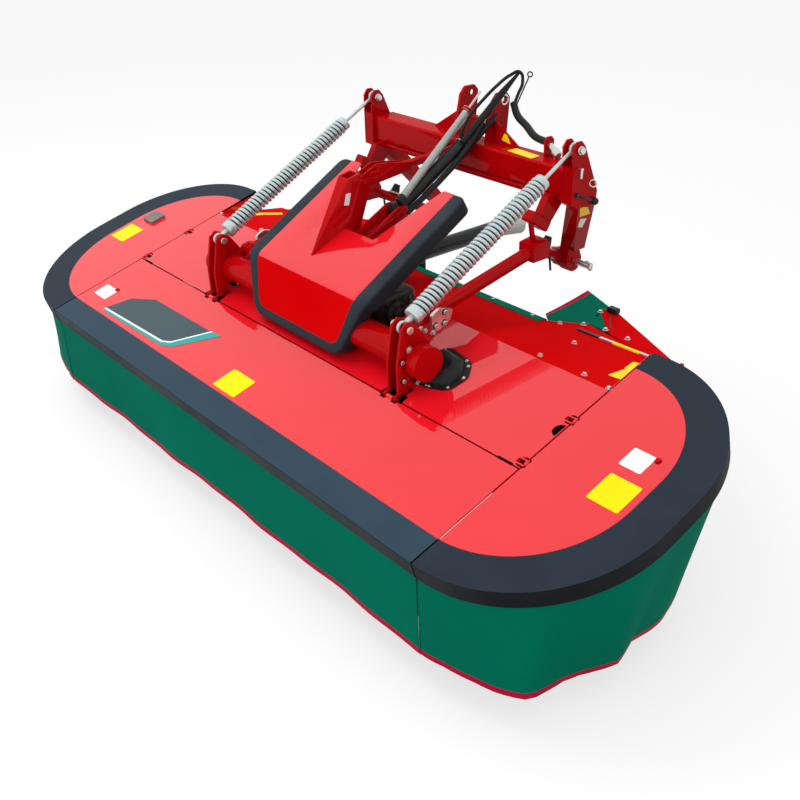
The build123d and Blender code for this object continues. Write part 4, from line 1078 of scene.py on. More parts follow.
@dataclass
class Springs:
    """Long pull springs between the brackets and the headstock, with plug, rod and rings, and a near-black
    core as painted shade between the turns.
    """

    across: float = 0.575
    low: tuple = (0.060, 0.240)
    high: tuple = (0.875, 0.683)
    coil_start: float = 0.062
    coil_end: float = 0.745
    coil_radius: float = 0.0262
    wire: float = 0.0072
    # Radius of the near-black core inside the coil, painted shade seen between the turns.
    shade_core: float = 0.0190
    turns: int = 36
    steps: int = 22
    plugs: tuple = ((-0.016, 0.014, 0.0325), (-0.020, 0.006, 0.0300))
    rods: tuple = (0.011, 0.007)
    ring: float = 0.017
    ring_wire: float = 0.0065

    def coil(self) -> bpy.types.Object:
        """Winds the wire at the origin along z."""
        clear_selection()
        bpy.ops.mesh.primitive_circle_add(
            vertices=8, radius=self.wire, location=(self.coil_radius, 0, self.coil_start),
            rotation=(pi / 2, 0, 0),
        )
        wire = bpy.context.object
        freeze()
        rise = (self.coil_end - self.coil_start - 2 * self.wire) / self.turns
        modify(
            wire, "SCREW", axis="Z", angle=tau, iterations=self.turns, screw_offset=rise, steps=self.steps,
            render_steps=self.steps, use_merge_vertices=False,
        )
        weld(wire, flatten=False)
        bpy.ops.object.shade_smooth()
        return wire

    def build(self) -> None:
        """Builds both springs in place of their solids."""
        low, high = Vector((0, *self.low)), Vector((0, *self.high))
        axis = (high - low).normalized()
        span = (high - low).length
        start, end = self.coil_start, self.coil_end
        bars = [
            (mark + foot, mark + head, radius, 28)
            for mark, (foot, head, radius) in zip((start, end), self.plugs)
        ]
        bars += [(end, span - self.ring, self.rods[1], 16), (self.ring, start, self.rods[0], 16)]
        for name, sign in SIDES:
            parts = [self.coil()]
            parts += [round_bar(UP * foot, UP * head, radius, sides) for foot, head, radius, sides in bars]
            parts += [hoop(UP * height, ACROSS, self.ring, self.ring_wire) for height in (0.0, span)]
            spring = join(parts, f"coil_spring_{name}")
            turn = Matrix((ACROSS, axis.cross(ACROSS), axis)).transposed().to_4x4()
            place = Matrix.Translation(datum.at(sign * self.across, low.y, low.z)) @ turn
            spring.data.transform(place)
            settle(spring, f"coil_spring_{name}", SPRING_ZINC)
            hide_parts(f"spring_{name}")
            carry(spring)
            # Near-black core inside the coil: painted shade seen through the gaps between the turns.
            shade_core = round_bar(UP * start, UP * end, self.shade_core)
            shade_core.data.transform(place)
            fit(shade_core, f"spring_core_{name}", PAINTED_SHADE)


@dataclass
class CoverFittings:
    """Reflectors, blank plates, the slate plate with its stripes, and the bolts of the covers."""

    thickness: float = 0.0012
    rounding: float = 0.006
    block: tuple = (-1.462, 0.230, 0.088, 0.075)
    block_depth: float = 0.012
    squares: tuple = (
        ("reflector_right", "side_cover_right", 1.45, 0.222, (0.080, 0.080), WHITE_PLATE),
        ("reflector_front", "front_cover", -1.08, -0.238, (0.10, 0.07), WHITE_PLATE),
        ("yellow_plate_left", "side_cover_left", -1.475, 0.084, (0.115, 0.115), YELLOW_PLATE),
        ("yellow_plate_right", "side_cover_right", 1.475, 0.084, (0.115, 0.115), YELLOW_PLATE),
        ("yellow_plate_front", "front_cover", 0.003, -0.274, (0.14, 0.10), YELLOW_PLATE),
    )
    slate: tuple = (
        (-0.964, -0.303), (-0.915, -0.203), (-0.800, -0.146), (-0.362, -0.142), (-0.461, -0.274),
        (-0.500, -0.290),
    )
    white_stripe: tuple = (
        (-0.966, -0.302), (-0.500, -0.288), (-0.461, -0.271), (-0.365, -0.139), (-0.354, -0.139),
        (-0.455, -0.278), (-0.500, -0.297), (-0.962, -0.310),
    )
    teal_stripe: tuple = (
        (-0.962, -0.310), (-0.500, -0.297), (-0.455, -0.278), (-0.354, -0.139), (-0.297, -0.136),
        (-0.425, -0.288), (-0.466, -0.306), (-0.500, -0.311), (-0.955, -0.320),
    )
    hood: tuple = (
        (0.856, 0.026), (0.832, 0.231), (1.168, 0.012), (0.662, 0.345), (0.715, 0.418), (1.05, 0.030),
    )
    strip: tuple = ((0.118, 0.300, 0.003), (0.352, 0.300, 0.003), (0.562, 0.300, 0.003))
    board: tuple = ((0.794, 0.852, 0.052), (0.676, 0.962, 0.052), (0.90, 0.850, 0.052), (1.10, 0.805, 0.052))
    cluster: tuple = ((0.413, 0.386), (0.36, 0.386), (0.404, 0.318), (0.439, 0.326))
    rivets: tuple = (
        ("front_rivet", -1.040, -0.205, "front_cover"), ("side_rivet", 1.500, 0.254, "side_cover_right"),
    )

    def plates(self) -> None:
        """Sticks the plates and the left reflector's block on the covers."""
        up, rounding = datum.normal, self.rounding
        for name, body, x, v, size, finish in self.squares:
            corners = deck_square(x, v, *size)
            carry(flat_plate(name, corners, up, self.thickness, finish, rounding), body)
        corners = deck_square(*self.block)
        block = flat_plate("reflector_left", corners, up, self.block_depth, GREY_REFLECTOR, rounding)
        carry(block, "side_cover_left")

    def slate_plate(self) -> None:
        """Slate plate on the front cover, edged below by a white and a teal stripe."""
        layers = (
            ("slate_plate", self.slate, PLATE_SLATE, 0.0010, self.rounding),
            ("white_stripe", self.white_stripe, WHITE_PLATE, 0.0014, 0.0),
            ("teal_stripe", self.teal_stripe, TEAL, 0.0018, 0.0),
        )
        for name, outline, finish, lift, rounding in layers:
            plate = flat_plate(name, datum.all_deck(outline), datum.normal, lift, finish, rounding)
            carry(plate, "front_cover")

    def bolts(self) -> None:
        """Bolts and rivets on the deck, the hood and the swath boards."""
        groups = (
            (datum.hood, self.hood, datum.hood_normal), (datum.hood, self.strip, datum.hood_normal),
            (datum.at, self.board, UP), (datum.deck, self.cluster, datum.normal),
        )
        places = [
            (place, normal) for spot, values, normal in groups for place in both_sides(spot, values)
        ]
        carry(Bolt(0.008, 0.007).row("deck_bolts", places, ZINC))
        for name, x, v, body in self.rivets:
            head = Bolt(0.009, 0.006).row(name, [(datum.deck(x, v), datum.normal)], FRAME_RED)
            carry(head, body)

    def build(self) -> None:
        """Builds all the cover's fittings."""
        self.plates()
        self.slate_plate()
        self.bolts()


def mirrored(half: tuple) -> tuple:
    """Closes the right half of an outline of x, place and radius with its mirror image."""
    return half + tuple((-x, *rest) for x, *rest in reversed(half))


def filleted(points: tuple, steps: int = 7) -> list[tuple[float, float]]:
    """Closed outline with its corners rounded.

    Args:
        points: Two coordinates and the rounding radius of each corner.
        steps: Straight lengths round each corner.

    Returns:
        Points of the rounded outline.
    """
    outline = []
    for index, (x, y, radius) in enumerate(points):
        corner = Vector((x, y))
        if not radius:
            outline.append((x, y))
            continue
        before = (Vector(points[index - 1][:2]) - corner).normalized()
        after = (Vector(points[(index + 1) % len(points)][:2]) - corner).normalized()
        half = before.angle(after) / 2
        reach = radius / tan(half)
        centre = corner + (before + after).normalized() * radius / sin(half)
        start, end = corner + before * reach - centre, corner + after * reach - centre
        for step in range(steps + 1):
            outline.append(tuple(centre + start.slerp(end, step / steps) * radius))
    return outline


@dataclass
class Cowl:
    """Cowl over the gearbox: a thick moulded band round a red panel, both bent over the crease."""

    foot: tuple = (0.008, 0.033)
    bend: tuple = (0.066, 0.248)
    rear: tuple = (0.545, 0.525)
    depth: float = 0.0615
    rounding: float = 0.013
    band_bend: float = 0.075
    panel_bend: float = 0.016
    blend_start: float = 0.200
    blend_end: float = 0.290
    panel_sink: float = 0.0015
    panel_wall: float = 0.005
    panel_rounding: float = 0.0016
    # Normal y below which the panel's faces get the darker deck paint as painted shade.
    shaded_front_limit: float = -0.8
    cuts: int = 13
    cut_step: float = 0.0025

    def __post_init__(self) -> None:
        """Finds the directions of the front and of the top."""
        foot, bend, rear = Vector(self.foot), Vector(self.bend), Vector(self.rear)
        self.crease = (bend - foot).length
        self.total = self.crease + (rear - bend).length
        self.up = (bend - foot).normalized()
        self.back = (rear - bend).normalized()
        self.turn = self.up.angle(self.back)

    def place(self, x: float, s: float, lift: float) -> Vector:
        """Place on the bent surface.

        Args:
            x: Across the machine.
            s: Along the front and then the top, as if the crease were sharp.
            lift: Height over the surface.

        Returns:
            The place.
        """
        share = min(1.0, max(0.0, (abs(x) - self.blend_start) / (self.blend_end - self.blend_start)))
        radius = self.panel_bend + (self.band_bend - self.panel_bend) * share
        reach = radius * tan(self.turn / 2)
        normal_up, normal_back = Vector((-self.up.y, self.up.x)), Vector((-self.back.y, self.back.x))
        bend = Vector(self.bend)
        if s <= self.crease - reach:
            spot = Vector(self.foot) + self.up * s + normal_up * lift
        elif s >= self.crease + reach:
            spot = bend + self.back * (s - self.crease) + normal_back * lift
        else:
            centre = bend - self.up * reach - normal_up * radius
            part = (s - self.crease + reach) / (2 * reach)
            spot = centre + normal_up.slerp(normal_back, part) * (radius + lift)
        return datum.at(x, spot.x, spot.y)

    def bent(
        self, name: str, outline: list, top: float, wall: float, rounding: float, finish: Finish
    ) -> bpy.types.Object:
        """Cuts a piece flat, rounds its edges and bends it over the crease.

        Args:
            name: Its name.
            outline: Its corners, across and along.
            top: Height of its upper face over the surface.
            wall: Its thickness.
            rounding: Rounding of its edges.
            finish: Its finish.

        Returns:
            The piece.
        """
        piece = drawn_face([(x, s, top) for x, s in outline], UP)
        with Pick(piece) as pick:
            pick.everything()
            bpy.ops.mesh.extrude_region_move(TRANSFORM_OT_translate={"value": (0, 0, -wall)})
            pick.everything()
            bpy.ops.mesh.normals_make_consistent(inside=False)
        modify(piece, "BEVEL", width=rounding, segments=4, limit_method="ANGLE", angle_limit=radians(60))
        cuts = [(BACK, self.crease + shift * self.cut_step) for shift in range(-self.cuts, self.cuts + 1)]
        edges = (-self.blend_end, -self.blend_start, self.blend_start, self.blend_end)
        cuts += [(ACROSS, edge) for edge in edges]
        with Pick(piece) as pick:
            for direction, reach in cuts:
                pick.everything()
                bpy.ops.mesh.bisect(plane_co=direction * reach, plane_no=direction)
        for vertex in piece.data.vertices:
            vertex.co = self.place(*vertex.co)
        smooth(piece, 32)
        return settle(piece, name, finish)

    def build(self) -> None:
        """Makes the band and the panel in place of their solids."""
        crease, end = self.crease, self.total
        outline = filleted(mirrored((
            (0.2687, 0.0, 0.075), (0.366, crease, 0.080), (0.366, end, 0.034), (0.298, end, 0.010),
            (0.298, crease + 0.01, 0.070), (0.2420, 0.0420, 0.048),
        )))
        band = self.bent("cowl_band", outline, 0.0, self.depth, self.rounding, DARK_SLATE)
        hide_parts("cowl_trim")
        carry(band)
        outline = filleted(mirrored((
            (0.2480, 0.0280, 0.030), (0.306, crease + 0.01, 0.060), (0.304, end - 0.001, 0.004),
            (0.2446, end - 0.001, 0.012), (0.1500, 0.4750, 0.012),
        )), 5)
        sink, wall, rounding = -self.panel_sink, self.panel_wall, self.panel_rounding
        panel = self.bent("cowl_cover", outline, sink, wall, rounding, COVER_RED)
        # Forward-looking faces get the darker, unglossed deck paint: painted shade on the cowl's steep front.
        panel.data.materials.append(DECK_RED.material())
        for face in panel.data.polygons:
            if face.normal.y < self.shaded_front_limit:
                face.material_index = 1
        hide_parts("cowl_panel")
        carry(panel)


@dataclass
class Mast:
    """The mast that grows out of the cowl, its front drawn to a narrow nose, and the rounded arms."""

    axis: float = -0.050
    nose: tuple = ((0.150, 0.300), (0.289, 0.511))
    nose_depth: float = 0.032
    nose_half: float = 0.05
    bands: tuple = ((0.250, 0.400, 0.10), (0.400, 0.535, 0.45))
    fin_x: float = -0.0176
    fin: tuple = ((0.296, 0.503), (0.318, 0.503), (0.306, 0.458), (0.285, 0.462))

    def build(self) -> None:
        """Builds the mast, the upper link and the lower arms in place of their solids."""
        mast = solid_copy("link_mast", "mast", FRAME_RED, 0.003, 2)
        seam = datum.seam
        (low_y, low_z), (high_y, high_z) = self.nose
        lean = (high_y - low_y) / (high_z - low_z)
        with Pick(mast) as pick:
            for start, end, narrow in self.bands:
                pick.points(
                    lambda spot: (
                        start <= spot.z - seam.z < end
                        and abs(spot.x - self.axis) < self.nose_half
                        and spot.y - seam.y < low_y + lean * (spot.z - seam.z - low_z) + self.nose_depth
                    )
                )
                bpy.ops.transform.resize(value=(narrow, 1, 1), center_override=(self.axis, seam.y, seam.z))
        carry(mast)
        carry(solid_copy("upper_link", "top_link", FRAME_RED, 0.004, 3))
        for name, _ in SIDES:
            arm = solid_copy(f"lower_arm_{name}", f"bent_arm_{name}", FRAME_RED, 0.008, 3)
            carry(arm)
            bracket = solid_copy(f"spring_bracket_{name}", f"bracket_{name}", FRAME_RED, 0.0025, 2)
            carry(bracket)
        corners = datum.all_at((self.fin_x, y, z) for y, z in self.fin)
        carry(flat_plate("fin_plate", corners, ACROSS, 0.001, WHITE_PLATE, 0.002))


@dataclass
class BarEnds:
    """Cutter bar, skids and outer discs, whose ends are drawn in so that the curtains hide them."""

    outer: float = 1.36
    draw: float = 0.085
    front: float = -0.180
    front_draw: float = 0.040
    blade: float = 1.52
    blade_draw: float = 0.050

    def build(self) -> None:
        """Makes the bar, the skids and both outer discs in place of their solids."""
        front = datum.seam.y + self.front
        parts = (
            ("skids", "skid_plates", HARD_STEEL, "hard_steel"),
            ("cutter_bar", "cutter_beam", CAST, "gear_housing"),
        )
        for node, name, finish, slot in parts:
            piece = solid_copy(node, name, finish, 0.002, 2)
            with Pick(piece) as pick:
                for _, sign in SIDES:
                    pick.points(lambda spot: spot.x * sign > self.outer)
                    bpy.ops.transform.translate(value=(-sign * self.draw, 0, 0))
                    pick.points(lambda spot: spot.x * sign > self.outer - self.draw and spot.y < front)
                    bpy.ops.transform.translate(value=(0, self.front_draw, 0))
            carry(piece)
        for node, sign in (("disc_1", -1), ("disc_8", 1)):
            piece = solid_copy(node, f"{node}_blades", HARD_STEEL, 0.001, 2)
            with Pick(piece) as pick:
                pick.points(lambda spot: spot.x * sign > self.blade)
                bpy.ops.transform.translate(value=(-sign * self.blade_draw, 0, 0))
            carry(piece, node)


@dataclass
class Boots:
    """Black rubber boots on the deck outside the drums, each with a riveted flange."""

    outline: tuple = (
        (0.545, 0.095, 0.030), (0.650, 0.100, 0.050), (0.728, 0.128, 0.045), (0.738, 0.215, 0.050),
        (0.690, 0.282, 0.050), (0.545, 0.300, 0.040), (0.532, 0.200, 0.040),
    )
    steps: tuple = ((0.80, 0.0), (0.97, 0.010), (0.86, 0.022), (0.74, 0.018), (0.60, 0.010), (0.40, 0.003))
    middle: tuple = (0.625, 0.195)
    flange: float = 0.004
    flange_lift: float = 0.001
    rivet_inset: float = 0.009

    def build(self) -> None:
        """Builds both boots and their rivets."""
        rivets = []
        for name, sign in SIDES:
            flat = filleted(self.outline)
            corners = [datum.deck(sign * x, v, self.flange_lift) for x, v in flat]
            boot = flat_plate(f"boot_cover_{name}", corners, datum.normal, self.flange, RUBBER)
            centre = datum.deck(sign * self.middle[0], self.middle[1])
            with Pick(boot) as pick:
                pick.faces(lambda middle, normal: normal.dot(datum.normal) > FACING)
                for shrink, lift in self.steps:
                    bpy.ops.mesh.extrude_region_move(TRANSFORM_OT_translate={"value": datum.normal * lift})
                    bpy.ops.transform.resize(value=(shrink, shrink, shrink), center_override=centre)
            smooth(boot, 60)
            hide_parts(f"boot_{name}")
            carry(boot)
            middle = sum((Vector(point) for point in flat), Vector((0, 0))) / len(flat)
            for x, v in flat[2::6]:
                inward = (middle - Vector((x, v))).normalized() * self.rivet_inset
                lift = self.flange + self.flange_lift
                rivets.append((datum.deck(sign * (x + inward.x), v + inward.y, lift), datum.normal))
        carry(Bolt(0.0045, 0.003, 10).row("boot_rivets", rivets, ZINC))


@dataclass
class Drive:
    """Black drive housing, with its cover and hose, under the cowl's right arm."""

    low: tuple = (0.130, 0.150, 0.095)
    high: tuple = (0.330, 0.335, 0.232)
    cap: tuple = (0.332, 0.225, 0.165)
    spokes: int = 6
    hose: tuple = (
        (0.345, 0.285, 0.215), (0.372, 0.270, 0.180), (0.370, 0.240, 0.130), (0.330, 0.230, 0.090),
    )
    hole: tuple = (1.1735, 0.193, 0.026, 0.027)
    slots: tuple = (
        ("latch_slot", ((1.088, -0.004), (1.150, -0.003), (1.150, 0.006), (1.088, 0.006))),
        ("foot_slot", ((0.520, -0.006), (0.635, -0.005), (0.630, 0.033), (0.528, 0.034))),
    )

    def housing(self) -> None:
        """Builds the housing."""
        low, high = datum.at(*self.low), datum.at(*self.high)
        block = box((low + high) / 2, high - low, 0.022, 3)
        with Pick(block) as pick:
            pick.faces(lambda centre, normal: normal.x > 0.95)
            bpy.ops.mesh.inset(thickness=0.018, depth=0)
            bpy.ops.mesh.inset(thickness=0.003, depth=0.010)
        smooth(block, 40)
        cap = datum.at(*self.cap)
        rim = cap + ACROSS * 0.020
        parts = [
            block,
            round_bar(cap, rim, 0.044, 28),
            round_bar(rim, cap + ACROSS * 0.030, 0.022, 20),
        ]
        for angle in range(self.spokes):
            spoke = Vector((0, cos(angle), sin(angle))) * 0.034
            parts.append(round_bar(cap + spoke + ACROSS * 0.020, cap + spoke + ACROSS * 0.025, 0.005, 8))
        parts.append(tube("drive_hose", datum.all_at(self.hose), 0.007, BLACK_PAINT))
        fit_all(parts, "drive_housing", BLACK_PAINT)

    def build(self) -> None:
        """Builds the housing, and near-black plates as painted shade for the deck's small openings and the
        right side's hand hole.
        """
        self.housing()
        x, v, across, along = self.hole
        angles = [pi * step / 12 for step in range(13)]
        outlines = [("hand_hole", [(x - across * sin(a), v - along * cos(a)) for a in angles], 1)]
        outlines += [(f"{label}_{name}", slot, sign) for name, sign in SIDES for label, slot in self.slots]
        # Each opening is a flat near-black plate on the deck: painted shade.
        openings = [
            flat_plate(name, datum.all_deck(outline, sign), datum.normal, 0.0008, PAINTED_SHADE)
            for name, outline, sign in outlines
        ]
        carry(join(openings, "deck_openings"))


@dataclass
class Drapes:
    """Rear flap and the cloths beside the swath boards, each with a crimson hem."""

    flap_half: float = 0.607
    flap_front: float = 0.280
    flap_rear: float = 0.335
    flap_drop: float = 0.185
    flap_bend: float = 0.012
    flap_lift: float = 0.0022
    flap_sway: float = 0.004
    flap_pitch: float = 17.0
    flap_levels: int = 6
    flap_columns: int = 44
    board_low: float = -0.428
    board_high: float = 0.0505
    board_inset: float = 0.002
    board_sag: float = 0.003
    hem: float = 0.018
    front: tuple = (
        (0.540, 0.800), (0.572, 0.774), (0.604, 0.750), (0.662, 0.801), (0.722, 0.854), (0.790, 0.845),
    )
    back: tuple = (
        (0.500, 1.093), (0.563, 1.069), (0.626, 1.044), (0.6875, 1.019), (0.662, 0.978), (0.800, 0.855),
    )
    first_row: float = 0.04
    fine: int = 5
    face: tuple = ((0.502, 1.093), (0.6875, 1.0185))
    face_sway: float = 0.0012
    face_sink: float = 0.0005
    face_rows: int = 10
    face_columns: int = 8

    def grid(self, rows: list[list[Vector]], hem: int) -> bpy.types.Object:
        """Cloth through rows of places, of which the band after one row is hem."""
        maps = [[(place.x, place.y + place.z) for place in row] for row in rows]
        return cloth_grid(rows, maps, lambda line, spot: line == hem)

    def flap(self) -> None:
        """Flap screwed to the hood's rear edge, bent down behind the rotor."""
        bend, rear = self.flap_bend, self.flap_rear
        profile = [(self.flap_front + (rear - self.flap_front) * step / 3, 0.0) for step in range(3)]
        for step in range(5):
            angle = radians(90 * step / 4)
            profile.append((rear - bend + bend * sin(angle), -bend + bend * cos(angle)))
        straight = self.flap_drop - bend - self.hem
        for step in range(1, self.flap_levels + 1):
            profile.append((rear, -bend - straight * step / self.flap_levels))
        profile.append((rear, -self.flap_drop))
        rows = []
        for v, drop in profile:
            row = []
            for column in range(self.flap_columns + 1):
                x = -self.flap_half + 2 * self.flap_half * column / self.flap_columns
                sway = self.flap_sway * sin(x * self.flap_pitch) * min(1.0, -drop / self.flap_drop)
                row.append(datum.hood(x, v + sway, self.flap_lift + drop))
            rows.append(row)
        cloth = self.grid(rows, len(rows) - 2)
        area = thicken_cloth(cloth, "rear_flap_cloth")
        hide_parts("rear_flap")
        carry(cloth)

    def swath(self, name: str, sign: int) -> None:
        """Cloth between a swath board and the flap: a top and a hanging face."""
        high = self.board_high - self.board_inset
        rows = []
        for (fx, fy), (bx, by) in zip(self.front, self.back):
            row = []
            for step in range(self.fine + 1):
                share = step / self.fine
                x, y = fx + (bx - fx) * share, fy + (by - fy) * share
                row.append(datum.at(sign * x, y, high - self.board_sag * sin(pi * share)))
            rows.append(row)
        edge = [first.lerp(second, self.hem / self.first_row) for first, second in zip(rows[0], rows[1])]
        top = self.grid([rows[0], edge, *rows[1:]], 0)
        (start_x, start_y), (end_x, end_y) = self.face
        rows = []
        for step in range(self.face_rows + 1):
            height = high - (high - self.board_low) * step / self.face_rows
            row = []
            for column in range(self.face_columns + 1):
                share = column / self.face_columns
                sway = self.face_sway * sin(share * 9 + 1) * step / self.face_rows - self.face_sink
                x, y = start_x + (end_x - start_x) * share, start_y + (end_y - start_y) * share
                row.append(datum.at(sign * x, y + sway, height))
            rows.append(row)
        drop = self.grid(rows, self.face_rows - 1)
        area = thicken_cloth(top, "top") + thicken_cloth(drop, "drop")
        cloth = join([top, drop], f"swath_cloth_sheet_{name}")
        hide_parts(f"swath_cloth_{name}")
        carry(cloth)

    def build(self) -> None:
        """Makes the flap and both cloths."""
        self.flap()
        for name, sign in SIDES:
            self.swath(name, sign)


@dataclass
class Hitch:
    """Small pieces of the headstock: pins, plates, lever, hose sleeve, stops and the gauge's ring."""

    upright_x: float = 0.575
    upright_half: float = 0.028
    tower_x: float = 0.090
    spring_pin: tuple = (0.875, 0.683)
    lower_pin: tuple = (1.1, 0.15)
    top_hole: tuple = (1.0, 0.76)
    shoulder: float = 0.4125
    pin_end: float = 0.5004
    pin_radius: float = 0.0146
    head_gap: float = 0.010
    head_length: float = 0.009
    head_radius: float = 0.0125
    washer_back: float = 0.004
    clip_x: float = 0.490
    hole_rings: tuple = (-0.0085, 0.0085)
    collars: tuple = (0.385, 0.398)
    arm_x: float = 0.5
    knee: tuple = (0.770, 0.310)
    arm_end: float = 0.3442
    stop_share: float = 0.3
    stop_rise: float = 0.0195
    stop_ring: float = 0.0075
    block: tuple = (0.772, 0.421)
    block_size: tuple = (0.052, 0.110, 0.044)
    block_tilt: float = -34
    link: tuple = ((0.742, 0.424), (0.757, 0.345))
    cone_ends: tuple = ((0, 1.086, 0.19), (0, 1.192, 0.19))
    clip: tuple = (
        ((0.604, 0.874, 0.617), (0.624, 0.874, 0.617), 0.005),
        ((0.620, 0.874, 0.619), (0.622, 0.868, 0.584), 0.0045),
    )
    tube_low: tuple = (0.070, 0.491, 0.466)
    tube_high: tuple = (0.002, 0.880, 0.706)
    tube_radius: float = 0.0150
    gauge_low: tuple = (-0.003, 0.566, 0.430)
    gauge_high: tuple = (-0.003, 0.900, 0.722)
    cylinder_low: tuple = (0.050, 0.480, 0.418)
    cylinder_high: tuple = (0.050, 0.945, 0.680)
    leg_normal: tuple = (0.853, 0, -0.522)
    beam: tuple = ((0.236, 0.880, 0.607), (0.375, 0.868, 0.607), (0.372, 0.918, 0.607), (0.238, 0.930, 0.607))
    gusset: tuple = (
        (0.150, 0.9368, 0.622), (0.198, 0.9368, 0.614), (0.180, 0.9368, 0.646), (0.163, 0.9368, 0.650),
    )
    leg_yellow: tuple = (
        (0.603, 0.892, 0.470), (0.594, 0.948, 0.455), (0.568, 0.994, 0.413), (0.568, 0.936, 0.413),
    )
    leg_white: tuple = (
        (0.560, 0.950, 0.400), (0.555, 0.990, 0.391), (0.528, 1.000, 0.347), (0.534, 0.968, 0.357),
    )
    controls: tuple = (
        ((0.602, 0.868, 0.519), (0.612, 0.955, 0.482), 0.0048),
        ((0.590, 0.866, 0.520), (0.612, 0.870, 0.518), 0.009),
    )
    ball: tuple = (0.613, 0.964, 0.478)
    eye_rod: tuple = ((0.130, 1.028, 0.728), (0.130, 1.100, 0.836), 0.0028)
    guards: tuple = (
        (
            ((0.082, 0.505, 0.408), (0.086, 0.650, 0.490), (0.094, 0.800, 0.598), (0.104, 0.880, 0.690)),
            0.012, 0.8,
        ),
        (
            ((0.072, 0.800, 0.622), (0.098, 0.886, 0.712), (0.118, 0.962, 0.790), (0.140, 1.040, 0.868)),
            0.014, 0.35,
        ),
        (
            ((0.088, 0.830, 0.612), (0.104, 0.868, 0.650), (0.118, 0.905, 0.690), (0.124, 0.930, 0.720)),
            0.011, 0.7,
        ),
    )
    loop: tuple = (
        (0.050, 0.812, 0.651), (0.060, 0.852, 0.716), (0.084, 0.903, 0.776), (0.108, 0.955, 0.826),
        (0.127, 1.003, 0.858), (0.143, 1.036, 0.866), (0.153, 1.042, 0.830), (0.151, 1.020, 0.785),
        (0.147, 1.003, 0.745),
    )
    route: tuple = (
        (0.142, 1.006, 0.752), (0.178, 0.990, 0.716), (0.250, 0.968, 0.690), (0.318, 0.948, 0.664),
        (0.3875, 0.944, 0.656),
    )
    coupler: tuple = (
        ((0.396, 0.944, 0.650), (0.430, 0.938, 0.632), 0.0125),
        ((0.425, 0.939, 0.635), (0.452, 0.934, 0.620), 0.0165),
    )

    def pins(self) -> None:
        """Zinc heads of the spring pins, rings of the top link's hole and the hitch pins."""
        heads = []
        for _, sign in SIDES:
            for end in (-1, 1):
                x = sign * self.upright_x + end * (self.upright_half + self.head_gap)
                start = datum.at(x, *self.spring_pin)
                heads.append(round_bar(start, start + ACROSS * end * self.head_length, self.head_radius))
                washer = start - ACROSS * end * self.washer_back
                heads.append(hoop(washer, ACROSS, self.head_radius, 0.0035))
            low = datum.at(sign * self.shoulder, *self.lower_pin)
            tip = low + ACROSS * sign * (self.pin_end - self.shoulder)
            heads.append(round_bar(low, tip, self.pin_radius, 28))
            clip = datum.at(sign * self.clip_x, *self.lower_pin)
            heads.append(hoop(clip, Vector((0.2, 1, 0.3)), 0.021, 0.0025))
        for shift in self.hole_rings:
            heads.append(hoop(datum.at(self.tower_x + shift, *self.top_hole), ACROSS, 0.0180, 0.0042))
        heads.append(hoop(datum.at(0.610, 0.950, 0.548), Vector((0.7, -0.5, 0.5)), 0.013, 0.0026))
        heads += [rod(*bar) for bar in self.clip]
        axis = (Vector(self.cylinder_high) - Vector(self.cylinder_low)).normalized()
        for reach in self.collars:
            heads.append(hoop(datum.at(*self.cylinder_low) + axis * reach, axis, 0.0262, 0.0035))
        fit_all(heads, "hitch_pins", ZINC)

    def gauge(self) -> None:
        """Grey tube with its black foot."""
        start, end = datum.at(*self.tube_low), datum.at(*self.tube_high)
        fit(round_bar(start, end, self.tube_radius, 28), "gauge_tube", TUBE_STEEL)
        run = end - start
        foot = round_bar(start - run * 0.05, start + run * 0.02, self.tube_radius + 0.002, 24)
        fit(foot, "gauge_foot", BLACK_PAINT)

    def plates(self) -> None:
        """Blank yellow and white plates of the beam, the gusset and the leg."""
        leg = Vector(self.leg_normal)
        for name, corners, normal, lift, finish, rounding in (
            ("beam_plate", self.beam, UP, 0.001, YELLOW_PLATE, 0.004),
            ("gusset_plate", self.gusset, -BACK, 0.001, YELLOW_PLATE, 0.003),
            ("leg_plate_yellow", self.leg_yellow, leg, 0.0012, YELLOW_PLATE, 0.002),
            ("leg_plate_white", self.leg_white, leg, 0.0012, WHITE_PLATE, 0.002),
        ):
            carry(flat_plate(name, datum.all_at(corners), normal, lift, finish, rounding))

    def lever(self) -> None:
        """Lever with a black ball on the right upright, and the rod with an eye on the tower."""
        parts = [rod(*bar) for bar in self.controls]
        clear_selection()
        bpy.ops.mesh.primitive_uv_sphere_add(
            segments=20, ring_count=12, radius=0.0145, location=datum.at(*self.ball)
        )
        parts.append(bpy.context.object)
        bpy.ops.object.shade_smooth()
        parts.append(rod(*self.eye_rod))
        parts.append(hoop(datum.at(0.130, 1.107, 0.846), Vector((0.8, -0.5, 0.3)), 0.0095, 0.0028))
        for _, sign in SIDES:
            x = sign * self.arm_x
            parts.append(rod((x, 0.853, 0.262), (x, 0.861, 0.200), 0.0045))
        fit_all(parts, "hitch_controls", BLACK_PAINT)

    def hoses(self) -> None:
        """Hose and its sleeve, the guard band along the cylinder and the coupler."""
        bands = [
            tube("guard", datum.all_at(places), radius, RUBBER, tip) for places, radius, tip in self.guards
        ]
        carry(join(bands, "hose_guard"))
        for name, node, places, radius in (
            ("hose", "lift_hose", self.loop, 0.0065), ("sleeve", "hose_sleeve", self.route, 0.0145),
        ):
            hose = tube(name, datum.all_at(places), radius, RUBBER)
            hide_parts(node)
            carry(hose)
        fit_all([rod(*bar) for bar in self.coupler], "hose_coupler", ZINC)

